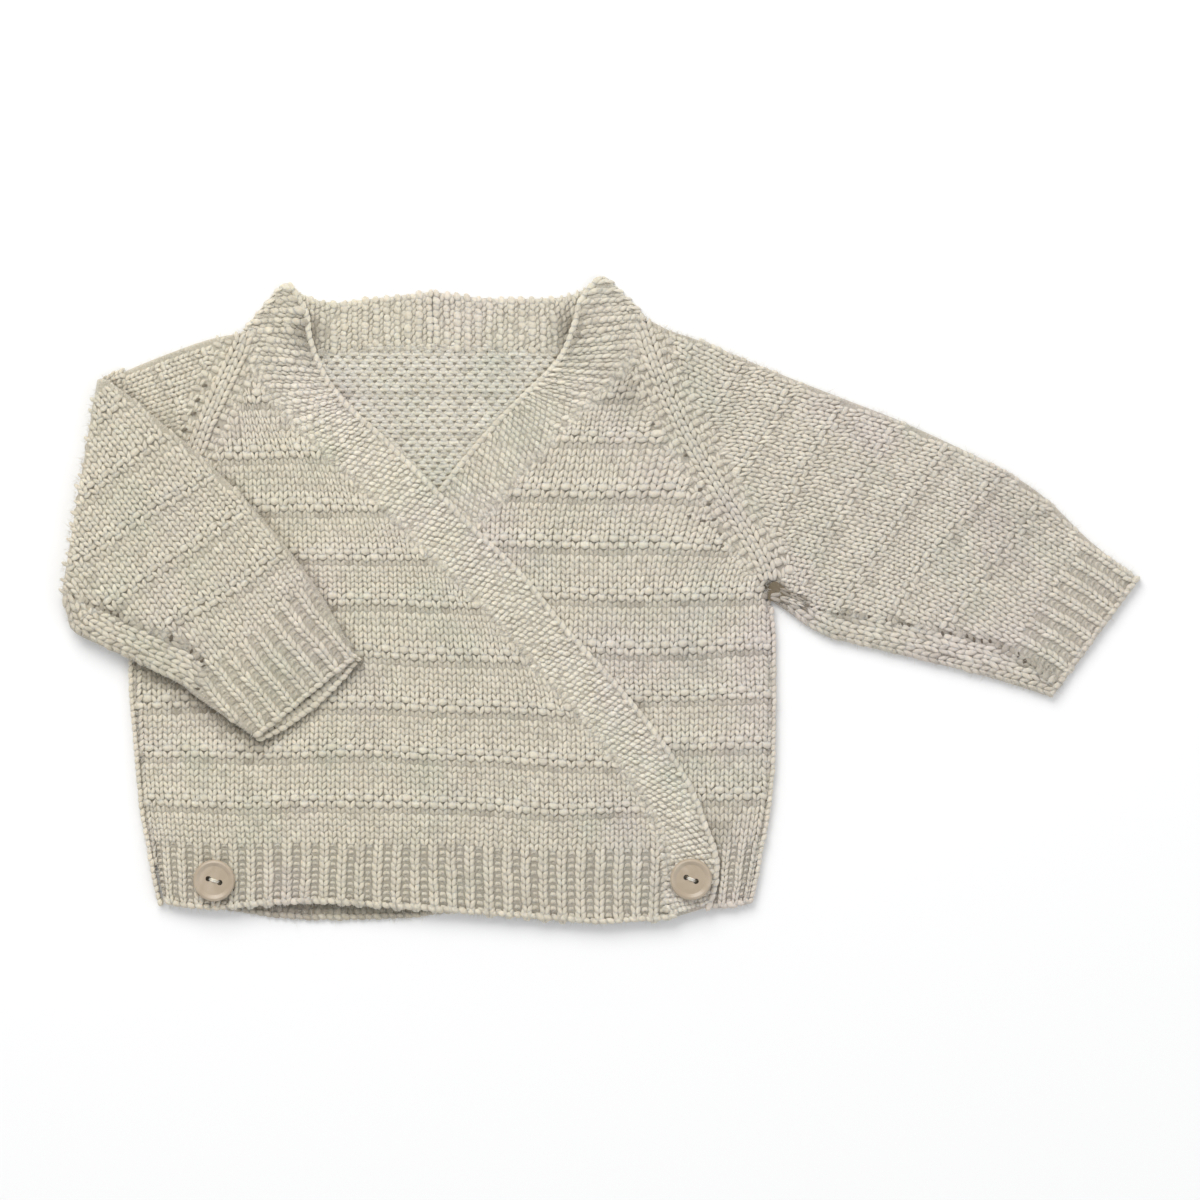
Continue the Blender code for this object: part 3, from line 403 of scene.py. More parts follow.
def build_wool_group():
    """Colour and height of plied yarn.

    Colour: two slow noises mix a clear cream with a greener and a pinker one, which turns a little
    cooler across the garment. The tone makes the stitch lighter or darker: its own random tone plus
    painted highlight and painted shade, and deep painted shade also turns it browner. A fine noise
    adds the grain of the fibres. Height: a wave across the yarn's twist plus fine fibre noise.
    """
    tree = bpy.data.node_groups.new("plied_wool", "ShaderNodeTree")
    for name, direction, kind in (
            ("Cream", "INPUT", "Color"), ("Green Cast", "INPUT", "Color"),
            ("Pink Cast", "INPUT", "Color"), ("Tone", "INPUT", "Float"),
            ("Twist", "INPUT", "Vector"), ("Colour", "OUTPUT", "Color"),
            ("Height", "OUTPUT", "Float")):
        tree.interface.new_socket(name, in_out=direction, socket_type="NodeSocket" + kind)
    given = tree.nodes.new("NodeGroupInput").outputs
    result = tree.nodes.new("NodeGroupOutput").inputs
    place = add_node(tree, "TexCoord", {}).outputs["Object"]

    def noise(scale, detail, low, high):
        source = add_node(tree, "TexNoise", {"Vector": place, "Scale": scale, "Detail": detail})
        return remap(tree, source.outputs["Fac"], (low, high))

    colour = blend(tree, "MIX", noise(38.0, 3.0, 0.48, 0.72), given["Cream"], given["Green Cast"])
    colour = blend(tree, "MIX", noise(21.0, 2.0, 0.50, 0.75), colour, given["Pink Cast"])
    across = add_node(tree, "SeparateXYZ", {0: place}).outputs["X"]
    colour = blend(tree, "MULTIPLY", remap(tree, across, (-0.10, 0.12)), colour, COOL_CAST)
    # The tone holds random tone plus painted highlight and painted shade; deep painted shade also
    # turns the wool brown.
    light = remap(tree, given["Tone"], (-1.0, 1.0), (0.84, 1.14), False)
    colour = blend(tree, "MULTIPLY", 1.0, colour, light)
    depth = remap(tree, given["Tone"], (-0.8, -5.0), (0.0, 0.85))
    colour = blend(tree, "MIX", depth, colour, PAINTED_SHADE_BROWN)
    grain = remap(tree, noise(850.0, 3.0, 0.25, 0.75), (0.0, 1.0), (0.90, 1.07))
    tree.links.new(blend(tree, "MULTIPLY", 1.0, colour, grain), result["Colour"])

    plies = add_node(tree, "TexWave", {
        "Vector": given["Twist"], "Scale": 1.0, "Distortion": 1.2, "Detail": 1.0},
        wave_type="BANDS", bands_direction="DIAGONAL")
    height = add_node(tree, "Math", {
        0: noise(2600.0, 3.0, 0.3, 0.7), 1: 0.6, 2: plies.outputs["Fac"]}, operation="MULTIPLY_ADD")
    tree.links.new(height.outputs[0], result["Height"])
    return tree


WOOL_GROUP = build_wool_group()
print("wool group:", len(WOOL_GROUP.nodes), "nodes")

# %% Wool materials
def wool(name, shades, bump, sheen):
    """A wool material: the shared group feeds a rough Principled shader with a soft sheen."""
    material, tree, shader = new_material(name, {
        "Roughness": 0.92, "Specular IOR Level": 0.18,
        "Sheen Weight": sheen, "Sheen Roughness": 0.55, "Sheen Tint": (1.0, 0.97, 0.92, 1.0),
        "Subsurface Weight": 0.5, "Subsurface Radius": (1.0, 0.85, 0.65),
        "Subsurface Scale": 0.0012})
    colours = {socket: (*shade, 1.0)
               for socket, shade in zip(("Cream", "Green Cast", "Pink Cast"), shades)}
    group = add_node(tree, "Group", {
        **colours, "Tone": add_node(tree, "Attribute", {}, attribute_name="tone").outputs["Fac"],
        "Twist": add_node(tree, "UVMap", {}, uv_map="yarn").outputs["UV"]}, node_tree=WOOL_GROUP)
    relief = add_node(tree, "Bump", {
        "Strength": bump, "Distance": 0.00025, "Height": group.outputs["Height"]})
    tree.links.new(group.outputs["Colour"], shader.inputs["Base Color"])
    tree.links.new(relief.outputs["Normal"], shader.inputs["Normal"])
    return material


SHADES = np.array([(0.700, 0.641, 0.520), (0.650, 0.622, 0.500), (0.700, 0.628, 0.545)])
# Painted shade: the ground wool in the gaps is the cream at two thirds, and the holes' wool is a
# dark brown.
GROUND_SHARE = 0.67
HOLE_SHADE_COLOURS = ((0.200, 0.176, 0.136), (0.16, 0.14, 0.10), (0.17, 0.14, 0.11))
STITCH_WOOL = wool("stitch_wool", SHADES, 0.55, 0.35)
GROUND_WOOL = wool("ground_wool", GROUND_SHARE * SHADES, 0.4, 0.1)
HOLE_SHADE_WOOL = wool("hole_shade_wool", HOLE_SHADE_COLOURS, 0.2, 0.0)
print("wool materials:", STITCH_WOOL.name, GROUND_WOOL.name, HOLE_SHADE_WOOL.name)

# %% [markdown]
# ## Stitches
#
# A knit stitch shows as a V of two slanting legs, and a purl stitch as a small arch of yarn. Each
# is made once as a few fat beads of yarn with rounded ends, in millimetres: x across the stitch, y
# along the column and z up from the cloth. A bead needs only a few faces, because thousands are
# laid.

# %% Yarn beads
BEAD_STATIONS = np.array([0.0, 0.13, 0.38, 0.65, 0.88, 1.0])
BEAD_SIDES = 6


def bead(path, half_width, half_height):
    """A fat bead of yarn along a curve through three points, as points, quads, triangles and uv.

    Ring k is centred on the quadratic curve at t, and its points are centre + side * a cos(q) +
    up * b sin(q), where a and b are the half sizes times (sin(pi t))^0.55. The ends are poles.
    """
    t = BEAD_STATIONS[:, None]
    start, middle, end = np.asarray(path, float)
    middle = 2 * middle - (start + end) / 2
    centre = start * (1 - t) ** 2 + 2 * middle * t * (1 - t) + end * t ** 2
    way = np.gradient(centre[:, :2], axis=0)
    way /= np.linalg.norm(way, axis=1, keepdims=True)
    side = np.stack([way[:, 1], -way[:, 0], 0 * way[:, 0]], axis=-1)
    swell = np.sin(np.pi * BEAD_STATIONS[1:-1]) ** 0.55
    ring = np.arange(BEAD_SIDES)
    angle = 2 * np.pi * ring / BEAD_SIDES + 0.5
    rings = (centre[1:-1, None]
             + side[1:-1, None] * (half_width * swell[:, None] * np.cos(angle))[..., None]
             + np.array([0, 0, 1.0]) * (half_height * swell[:, None] * np.sin(angle))[..., None])
    points = np.concatenate([rings.reshape(-1, 3), centre[:1], centre[-1:]])
    poles = len(points) - 2
    last_ring = ring + poles - BEAD_SIDES
    quads = grid_faces(len(swell), BEAD_SIDES, wrap=True)
    tris = np.concatenate([
        np.stack([np.full(BEAD_SIDES, poles), np.roll(ring, -1), ring], axis=-1),
        np.stack([np.full(BEAD_SIDES, poles + 1), last_ring, np.roll(last_ring, -1)], axis=-1)])
    corner = points[np.concatenate([quads[:, :3], quads[:, [0, 2, 3]], tris])]
    if np.einsum("ij,ij->i", corner[:, 0], np.cross(corner[:, 1], corner[:, 2])).sum() < 0:
        quads, tris = quads[:, ::-1], tris[:, ::-1]
    uv = np.stack([np.tile(ring / BEAD_SIDES, len(swell)),
                   np.repeat(BEAD_STATIONS[1:-1], BEAD_SIDES)], axis=-1)
    return points, quads, tris, np.concatenate([uv, [[0.5, 0.0], [0.5, 1.0]]])


def gather(parts):
    """Several sets of (points, quads, triangles, more arrays per point) as one set."""
    starts = np.cumsum([0] + [len(part[0]) for part in parts])
    return [np.concatenate([array + start if place in (1, 2) else array
                            for start, array in zip(starts, arrays)])
            for place, arrays in enumerate(zip(*parts))]


def legs(path, half_width, half_height):
    """A V of two beads: one along a path and one along the path mirrored in x."""
    return gather([bead(path, half_width, half_height),
                   bead([(-x, y, z) for x, y, z in path], half_width, half_height)])


# %% Kinds of stitch
STITCH_WIDTH = 3.68
ROW_HEIGHT = 2.56
OWN_PITCH = (STITCH_WIDTH, ROW_HEIGHT)
# Knit, knit in rib, purl, purl in rib, bump, seed stitch, loop, cast on, cord, braid, hole, and the
# high and low rows of garter stitch. The numbers also set each kind's own random draws.
SKIP, K, RIB_K, P, RIB_P, B, SEED, L, CAST, CORD, BR, HO, GA, GB = range(14)
TEMPLATES = {
    K: legs([(-0.15, -2.2, -0.50), (-0.88, -0.2, 0.24), (-1.70, 1.85, -0.52)], 0.94, 0.66),
    RIB_K: legs([(-0.25, -2.2, -0.35), (-0.95, -0.1, 0.28), (-1.75, 1.9, -0.40)], 1.06, 0.72),
    P: gather([bead([(-2.6, -1.35, -0.20), (0.0, 0.40, 0.20), (2.6, -1.35, -0.20)], 1.34, 0.50),
               bead([(0.1, 0.1, 0.05), (0.0, 1.30, 0.28), (-0.1, 2.5, 0.05)], 1.42, 0.40)]),
    RIB_P: bead([(-1.7, -1.0, -0.45), (0.0, 0.6, 0.22), (1.7, -1.0, -0.45)], 0.88, 0.55),
    B: bead([(-2.2, -0.5, -0.30), (0.0, 0.35, 0.20), (2.2, -0.5, -0.30)], 1.6, 0.48),
    SEED: bead([(-2.3, -0.2, -0.28), (0.0, 0.3, 0.22), (2.3, -0.2, -0.28)], 1.95, 0.58),
    L: bead([(-0.45, -1.9, -0.30), (0.05, 0.0, 0.30), (0.5, 1.9, -0.30)], 1.05, 0.85),
    CAST: bead([(-0.8, -2.1, -0.30), (0.05, 0.0, 0.32), (0.8, 2.1, -0.30)], 1.35, 0.9),
    CORD: bead([(-0.6, -2.5, -0.2), (0.1, 0.0, 0.14), (0.6, 2.5, -0.2)], 1.45, 0.42),
    BR: legs([(-0.20, -2.7, -0.50), (-1.0, -0.2, 0.35), (-1.80, 2.3, -0.50)], 1.08, 0.85),
    HO: bead([(-1.1, -0.45, 0.0), (0.0, 0.1, 0.1), (1.1, 0.35, 0.0)], 0.62, 0.25),
    GA: bead([(-2.7, -0.55, -0.24), (0.0, 0.15, 0.16), (2.7, 0.55, -0.24)], 1.85, 0.5),
    GB: bead([(-2.4, 0.8, -0.26), (0.0, 0.1, 0.1), (2.4, -0.8, -0.26)], 1.25, 0.42),
}
print(len(TEMPLATES), "kinds of stitch; a knit stitch has", len(TEMPLATES[K][0]), "points")

# %% [markdown]
# A piece of knitting is a lattice. A function gives the place in space of any column and row, also
# between whole numbers, and the stitch is laid on the lattice's own directions there: across, along
# and up. So the stitches lean, spread and round over edges as the cloth does. A little unevenness
# in size, turn and tone keeps them from looking stamped.

# %% Laying stitches
STEP_REACH = 0.3
# Spreads of the stitches' size, turn in radians, shift and height in mm, and tone.
SIZE_SPREAD, TURN_SPREAD, SHIFT_SPREAD, RISE_SPREAD, TONE_SPREAD = 0.055, 0.06, 0.11, 0.06, 0.28


def local_frames(position, column, row):
    """Centre, step across, step along and unit normal of a lattice.

    The steps are differences of the position a little to each side, and the normal is their cross
    product. If most of a lattice's normals point down, its columns count the other way, so the step
    across is turned round, which keeps the frame right-handed.
    """
    reach = STEP_REACH
    centre = position(column, row)
    across = (position(column + reach, row) - position(column - reach, row)) / (2 * reach)
    along = (position(column, row + reach) - position(column, row - reach)) / (2 * reach)
    normal = np.cross(across, along)
    normal /= np.linalg.norm(normal, axis=-1, keepdims=True) + 1e-12
    if np.median(normal[:, 2]) < 0:
        across, normal = -across, -normal
    return centre, across, along, normal


def lay(template, frames, rise, tone, seed, pitch, wobble):
    """Copies of a stitch on a lattice.

    Each point is centre + across * x / width + along * y / height + normal * (z + rise), with x
    and y scaled, turned and shifted by small random amounts. Nothing goes below the table, z = 0.
    """
    points, quads, tris, uv = template
    centre, across, along, normal = frames
    count = len(centre)
    rng = np.random.default_rng(seed)
    size = 1 + wobble * rng.normal(0, SIZE_SPREAD, (count, 1))
    turn = wobble * rng.normal(0, TURN_SPREAD, (count, 1))
    shift = wobble * rng.normal(0, SHIFT_SPREAD, (count, 2))
    x = points[None, :, 0] * size - points[None, :, 1] * turn + shift[:, :1]
    y = points[None, :, 1] * size + points[None, :, 0] * turn + shift[:, 1:]
    z = points[None, :, 2] * size + (rise + wobble * rng.normal(0, RISE_SPREAD, count))[:, None]
    placed = (centre[:, None]
              + across[:, None] * (x / pitch[0])[..., None]
              + along[:, None] * (y / pitch[1])[..., None]
              + normal[:, None] * z[..., None])
    placed[..., 2] = np.maximum(placed[..., 2], 0.0)
    step = (np.arange(count) * len(points))[:, None, None]
    return (placed.reshape(-1, 3), (quads[None] + step).reshape(-1, 4),
            (tris[None] + step).reshape(-1, 3), np.tile(uv, (count, 1)),
            np.repeat(tone, len(points)))


def knit(place, columns, rows, chart, seed, pitch=OWN_PITCH, wobble=1.0):
    """Batches of stitches for a lattice: the chart gives each stitch's kind, rise and tone.

    columns and rows are (first, end); the chart reads arrays of column, row, x and y. Stitches keep
    their own size where pitch is the lattice's own, and stretch with it otherwise.
    """
    column, row = (grid.ravel() for grid in np.meshgrid(np.arange(*columns), np.arange(*rows)))
    frames = local_frames(place, column + 0.5, row + 0.5)
    kind, rise, tone = chart(column, row, frames[0][:, 0], frames[0][:, 1])
    tone = tone + np.random.default_rng(seed).normal(0, TONE_SPREAD, len(tone))
    batches = []
    for number, template in TEMPLATES.items():
        chosen = kind == number
        part = tuple(array[chosen] for array in frames)
        batches.append(lay(
            template, part, rise[chosen], tone[chosen], seed + number, pitch, wobble))
    return batches


def stitches_piece(name, batches, material=STITCH_WOOL):
    """One object from batches of laid stitches."""
    points, quads, tris, uv, tone = gather(batches)
    return new_piece(name, points, [quads, tris], material, tone, uv)


# %% [markdown]
# ## Faces of the cloth
#
# Each layer of the garment has an upper face. It is level, rounds over at its free edges like any
# knitted edge, and has a few soft creases where a hand has smoothed it down. The lattices of
# stitches lie a little under that face, so the crowns of the yarn come up to it.

# %% Rounded edges and creases
def rounded(depth, radius, drop):
    """How far a face falls near an edge: drop * (1 - sqrt(1 - (1 - d / r)^2)), 0 past radius r."""
    inset = np.clip(depth / radius, 0, 1)
    return drop * (1 - np.sqrt(1 - (1 - inset) ** 2))


def crease_height(table, x, y):
    """Sum over creases of height * exp(-(distance to the crease's line / width)^2)."""
    total = np.zeros(np.shape(x))
    for ax, ay, bx, by, width, height in table:
        dx, dy = bx - ax, by - ay
        t = np.clip(((x - ax) * dx + (y - ay) * dy) / (dx * dx + dy * dy), 0, 1)
        gap = (x - ax - t * dx) ** 2 + (y - ay - t * dy) ** 2
        total = total + height * np.exp(-gap / width ** 2)
    return total


# Creases: x and y of both ends, then the half width and the height, in mm.
TOP_CREASES = (
    (-128.0, 64.0, -60.0, -6.0, 14.0, 0.5),
    (-60.0, -6.0, 2.0, -76.0, 12.0, 0.5),
    (-150.0, 40.0, -136.0, -30.0, 16.0, -0.3),
    (-90.0, -40.0, -84.0, -96.0, 14.0, -0.25),
    (-40.0, -50.0, -46.0, -98.0, 10.0, 0.3),
    (10.0, -78.0, 14.0, -96.0, 7.0, -0.4),
)
UNDER_CREASES = (
    (20.0, -22.0, 40.0, -26.0, 9.0, -0.4),
    (44.0, -80.0, 46.0, -100.0, 8.0, -0.5),
    (-10.0, 60.0, 6.0, 40.0, 10.0, 0.3),
    (56.0, -10.0, 58.0, -80.0, 8.0, 0.3),
)
LEFT_SLEEVE_CREASES = (
    (72.0, 54.0, 150.0, 40.0, 16.0, 0.6),
    (74.0, 0.0, 90.0, 26.0, 12.0, -0.6),
    (176.0, 30.0, 166.0, -24.0, 10.0, -0.4),
)
FOLDED_SLEEVE_CREASES = (
    (-196.0, 60.0, -176.0, 6.0, 14.0, 0.6),
    (-176.0, 6.0, -130.0, -34.0, 14.0, 0.6),
    (-206.0, -6.0, -160.0, -34.0, 8.0, -0.4),
)
EDGE_ROUND = 2.4
SINK = 0.75
CREASE_FADE = 12.0


def faded_creases(creases, depth, x, y):
    """Creases of a sleeve, which fade out towards its edges."""
    return crease_height(creases, x, y) * np.clip(depth / CREASE_FADE, 0, 1)


def front_face(level, outline, creases):
    """Upper face of a front on its level."""
    return lambda x, y: (level(x, y) + WALL - rounded(depth_in(outline, x, y), EDGE_ROUND, WALL)
                         + crease_height(creases, x, y))


def sleeve_face(top, outline, creases, seam):
    """Upper face of a sleeve, a flattened tube, with a groove of 0.25 exp(-(distance / 1.4)^2)."""
    def face(x, y):
        depth = depth_in(outline, x, y)
        return (top(x, y) - rounded(depth, SLEEVE_HALF, SLEEVE_HALF)
                + faded_creases(creases, depth, x, y)
                - 0.25 * np.exp(-(depth_in(seam, x, y) / 1.4) ** 2))

    return face


def shoulder_face(x, y):
    """Upper face of the right sleeve between the raglan and the fold."""
    return 2 * SLEEVE_HALF - rounded(depth_in("shoulder_round", x, y), SLEEVE_HALF, SLEEVE_HALF)


def back_face(x, y):
    """Upper face of the back."""
    return WALL - rounded(depth_in("back", x, y), 2.0, 0.6)


top_front_face = front_face(top_level, "right_front", TOP_CREASES)
under_front_face = front_face(under_level, "left_front", UNDER_CREASES)
left_sleeve_face = sleeve_face(
    flat(2 * SLEEVE_HALF), "left_sleeve_round", LEFT_SLEEVE_CREASES, "left_seam")
folded_sleeve_face = sleeve_face(
    above(folded_low_level, 2 * SLEEVE_HALF), "folded_sleeve", FOLDED_SLEEVE_CREASES, "folded_seam")
joined_face = flat(FRONT_LEVEL + WALL)
print("face of the top front at its middle, mm:", round(float(top_front_face(-60.0, -60.0)), 2))

# %% [markdown]
# ## Rows of the fronts
#
# The knitting is not a square grid. Its rows sag and spread, and a ridge of seed stitch crosses it
# every eight rows. The tables hold the height of each ridge at several places across, and every row
# between follows them. The columns stand upright, and lean where the slanting band pulls on them.

# %% Row tables of the fronts
TOP_PLACES = np.array([-176.0, -144.0, -112.0, -80.0, -48.0, -16.0, 16.0])
TOP_ROWS = np.array([
    # row, then its height at each place
    (-2, -125.6, -127.8, -126.2, -128.2, -130.6, -133.0, -133.4),
    (0, -120.6, -122.8, -121.2, -123.2, -125.6, -128.0, -128.4),
    (10, -96.4, -96.8, -97.2, -97.6, -98.2, -100.0, -99.2),
    (16, -82.4, -83.2, -82.8, -82.4, -84.0, -86.0, -84.8),
    (24, -62.8, -62.8, -62.8, -62.8, -64.4, -66.0, -67.2),
    (32, -43.2, -43.2, -43.2, -43.6, -45.2, -46.4, -47.2),
    (40, -22.4, -22.4, -22.4, -23.6, -24.4, -26.0, -27.2),
    (48, -2.4, -2.4, -2.4, -2.0, -3.6, -4.8, -5.6),
    (56, 16.0, 16.0, 15.6, 16.4, 16.0, 15.6, 15.2),
    (64, 35.6, 35.6, 35.2, 35.6, 35.6, 35.6, 35.6),
    (72, 56.4, 56.4, 56.8, 56.4, 56.4, 56.4, 56.4),
    (80, 78.8, 78.8, 79.2, 79.6, 79.6, 79.6, 79.6),
    (92, 110.0, 110.0, 110.0, 110.0, 110.0, 110.0, 110.0),
])
UNDER_PLACES = np.array([-20.0, 16.0, 40.0, 66.0])
UNDER_ROWS = np.array([
    (-2, -127.0, -127.0, -127.8, -126.0),
    (0, -122.0, -122.2, -123.0, -121.2),
    (10, -96.8, -96.8, -96.8, -96.4),
    (16, -80.0, -80.2, -80.4, -79.2),
    (24, -59.2, -59.2, -60.2, -59.2),
    (32, -40.0, -40.4, -40.4, -38.8),
    (40, -20.4, -21.6, -21.8, -19.6),
    (48, 0.0, -0.4, -0.1, 0.8),
    (56, 21.2, 20.2, 19.6, 19.8),
    (64, 41.2, 40.8, 39.6, 38.8),
    (72, 63.2, 62.6, 62.0, 61.4),
    (80, 80.8, 80.8, 80.8, 80.8),
    (94, 116.0, 116.0, 116.0, 116.0),
])
RIDGE_EVERY = 8
FIRST_RIDGE = 16
LAST_RIDGE = 88
WELT_ROWS = 10


def row_height(table, places, row, x):
    """Height of any row at any x: linear in the row and across the places of the table."""
    curve = smooth_curve(table, 4)
    spot = np.interp(x, places, np.arange(len(places)))
    left = np.minimum(spot.astype(int), len(places) - 2)
    heights = np.stack([np.interp(row, curve[:, 0], curve[:, 1 + k]) for k in range(len(places))])
    low = np.take_along_axis(heights, left[None], 0)[0]
    high = np.take_along_axis(heights, left[None] + 1, 0)[0]
    return mix(low, high, spot - left)


def ridge_relief(row):
    """Ridges of seed stitch: the cloth swells from the rows above and drops into a groove below.

    With d rows past a ridge's first row, the swell is
    0.5 soft((d + 0.6) / 0.9) exp(-(d - 0.8)^2 / 5)
    and the groove is 0.2 exp(-((d + 0.6) / 0.4)^2).
    """
    total = np.zeros(np.shape(row))
    for start in range(FIRST_RIDGE, LAST_RIDGE, RIDGE_EVERY):
        d = row - start
        swell = soft_step((d + 0.6) / 0.9) * np.exp(-np.maximum(d - 0.8, 0) ** 2 / 5.0)
        total = total + 0.5 * swell - 0.2 * np.exp(-((d + 0.6) / 0.4) ** 2)
    return total


def wander(x, y, phase_x=0.0, phase_y=0.0):
    """A place moved a little, as in a hand-knitted lattice, by sums of slow sine waves."""
    u, v = x + phase_x, y + phase_y
    step_x = 0.34 * np.sin(v / 8.3 + 1.7 * np.sin(u / 29.0)) + 0.22 * np.sin(u / 6.1 + v / 21.0)
    step_y = 0.30 * np.sin(u / 9.7 + 1.4 * np.sin(v / 23.0)) + 0.18 * np.sin(v / 5.3 + u / 17.0)
    return x + step_x, y + step_y


TOP_FIRST_X = -186.0
UNDER_FIRST_X = -60.0
SIDE_X = 68.4
SIDE_REACH = 16.0
LEAN = (4.5, 8.0)
LEAN_REACH = (20.0, 25.0)


def below_arm(y):
    """0 down to 10 mm below the middle of the garment, and 1 from 40 mm below it."""
    return soft_step((-y - 10) / 30)


def top_front_place(column, row):
    """Place of a stitch on the top front.

    Columns follow the side seam near it, and lean towards the side by strength * exp(-h / reach)
    at a depth h below the seam of the band.
    """
    x = TOP_FIRST_X + STITCH_WIDTH * column
    y = row_height(TOP_ROWS, TOP_PLACES, row, x)
    below = np.maximum(read_off(RIGHT_BAND[:, 2:], 0, 1, x) - y, 0)
    high = soft_step((y - 20) / 60)
    lean = mix(*LEAN, high) * np.exp(-below / mix(*LEAN_REACH, high)) * soft_step((y + 60) / 40)
    side = (read_off(RIGHT_SIDE, 1, 0, y) - TOP_FIRST_X - 1.0) * below_arm(y)
    x, y = wander(x - lean + side * np.exp(-(x - TOP_FIRST_X) / SIDE_REACH), y)
    return spots(x, y, top_front_face(x, y) - SINK + ridge_relief(row))


def under_front_place(column, row):
    """Place of a stitch on the under front, whose columns lean out more the higher they are."""
    x = UNDER_FIRST_X + STITCH_WIDTH * column
    y = row_height(UNDER_ROWS, UNDER_PLACES, row, x)
    t = np.maximum(y + 2, 0) / 40
    out = soft_step(x / 40)
    lean = 40 * (0.065 * t ** 2 + 0.25 * out * np.where(t < 0.3, t ** 2 / 0.6, t - 0.15))
    side = (read_off(LEFT_SIDE, 1, 0, y) - SIDE_X) * below_arm(y)
    x, y = wander(x + lean + side * np.exp(-np.abs(SIDE_X - x) / SIDE_REACH), y, 40.0)
    return spots(x, y, under_front_face(x, y) - SINK + ridge_relief(row))


print("row 50 of the top front lies at",
      top_front_place(np.array([20.0]), np.array([50.0])).round(1))

# %% [markdown]
# A chart says which stitch stands where, as on a knitting pattern, and how high and how light it
# is. Where a layer hides another, and where a fold takes the light, the chart says so too.

# %% Chart of the fronts
RAGLAN_HALF = 9.0
UNDERARM_Y = 9.0
RAGLAN_COSINE = 0.87


def raglan_gap(side, x, y):
    """Distance to a raglan line, square to its slope. The line ends at the underarm."""
    return np.abs(x - read_off(side, 1, 0, y)) * np.where(y > UNDERARM_Y, RAGLAN_COSINE, 99.0)


def fabric_kind(column, row, rib_rows=WELT_ROWS):
    """Rib along the hem, two rows of seed stitch at each ridge and plain knitting between."""
    step = (row - FIRST_RIDGE) % RIDGE_EVERY
    in_ridge = (row >= FIRST_RIDGE) & (row < LAST_RIDGE) & (step < 2)
    kind = np.full(column.shape, K)
    kind[in_ridge & ((column + step) % 2 == 0)] = SEED
    kind[row < rib_rows] = np.where(column % 2 == 1, RIB_P, RIB_K)[row < rib_rows]
    seed, flat_stitch = kind == SEED, in_ridge & (kind == K)
    rise = 0.1 * (kind == RIB_K) - 0.3 * (kind == RIB_P) - 0.2 * (seed & (step == 0))
    rise = rise - 0.05 * flat_stitch
    # Painted highlight on the seed bumps and the row above each ridge, painted shadow on the row
    # beneath each ridge, and painted shade on the rib's recessed purl columns and on the low knit
    # stitches of the ridge rows.
    tone = -0.15 * (kind == RIB_K) - 0.6 * (kind == RIB_P) + 0.05 * seed
    tone = tone - 0.1 * flat_stitch + 0.3 * seed + 0.25 * ((row > rib_rows) & (step == 2))
    tone = tone - 0.85 * ((row > rib_rows) & (step == RIDGE_EVERY - 1))
    return kind, rise, tone


# Painted shade in folds and hollows where little light comes: x, y, radius in mm and how
# much darker it paints the wool.
PAINTED_SHADE_SPOTS = (
    (67.0, 5.0, 3.5, 4.0), (71.0, 2.6, 3.2, 4.0), (76.0, 0.4, 2.8, 3.0), (81.0, -1.8, 2.4, 2.0),
    (-116.5, 107.0, 6.8, 2.7), (-11.5, 109.0, 6.8, 2.7), (-114.0, 97.0, 5.0, 1.0),
    (-15.0, 99.0, 5.0, 1.0), (-101.0, 84.0, 2.5, 1.5), (12.0, 88.0, 11.5, 1.4),
    (-131.0, 92.0, 9.0, 0.5), (165.0, 34.0, 16.0, 0.6), (36.0, -22.0, 7.0, 0.8),
    (16.0, -40.0, 6.0, 0.6), (46.0, -91.0, 6.5, 1.6), (-148.0, 68.0, 6.0, 0.6))
HOLLOW_SHADE = 3.5


def fold_shade(x, y, near=None, reach=4.0, amount=1.2):
    """Painted shade in deep folds: the sum of amount * exp(-(distance / radius)^2).

    Painted shade also runs along the underarm seams, and cloth just outside a layer that lies on
    it gets a painted shadow, most of all on the layer's lower side.
    """
    shade = sum(much * np.exp(-((x - fx) ** 2 + (y - fy) ** 2) / radius ** 2)
                for fx, fy, radius, much in PAINTED_SHADE_SPOTS)
    for seam in ("left_seam", "folded_seam"):
        shade = shade + 1.8 * np.exp(-(depth_in(seam, x, y) / 1.3) ** 2)
    if near is not None:
        depth = depth_in(near, x, y)
        below = np.clip(depth_in(near, x, y + 1.0) - depth, 0, 1)
        outside = np.minimum(depth, 0) / (reach * (0.55 + below))
        shade = shade + amount * (1.2 + 1.2 * below) * np.exp(-outside ** 2)
    return shade


def show_only(kind, x, y, inside=None, margin=0.0, hidden=()):
    """Skip stitches near or past an outline's edge, or deeper than a reach under other layers."""
    if inside is not None:
        kind[depth_in(inside, x, y) < margin] = SKIP
    for layer, reach in hidden:
        kind[depth_in(layer, x, y) > reach] = SKIP


def top_front_chart(column, row, x, y):
    """Stitches of the top front that can be seen."""
    kind, rise, tone = fabric_kind(column, row)
    show_only(kind, x, y, "right_front", hidden=(("folded_sleeve", 5.0),))
    kind[raglan_gap(RIGHT_SIDE, x, y) < RAGLAN_HALF] = SKIP
    # Painted shadow beside the folded sleeve and painted shade in the folds.
    return kind, rise, tone - fold_shade(x, y, "folded_sleeve")


def under_front_chart(column, row, x, y):
    """Stitches of the under front that can be seen."""
    kind, rise, tone = fabric_kind(column, row)
    show_only(kind, x, y, "left_front", hidden=(("right_front", 2.0), ("top_band", 3.0)))
    kind[raglan_gap(LEFT_SIDE, x, y) < RAGLAN_HALF] = SKIP
    kind[(x > read_off(LEFT_SIDE, 1, 0, y)) & (y > 0)] = SKIP
    # Painted shadow beside the top band and painted shade in the folds.
    return kind, rise, tone - fold_shade(x, y, "top_band", 3.0, 0.8)


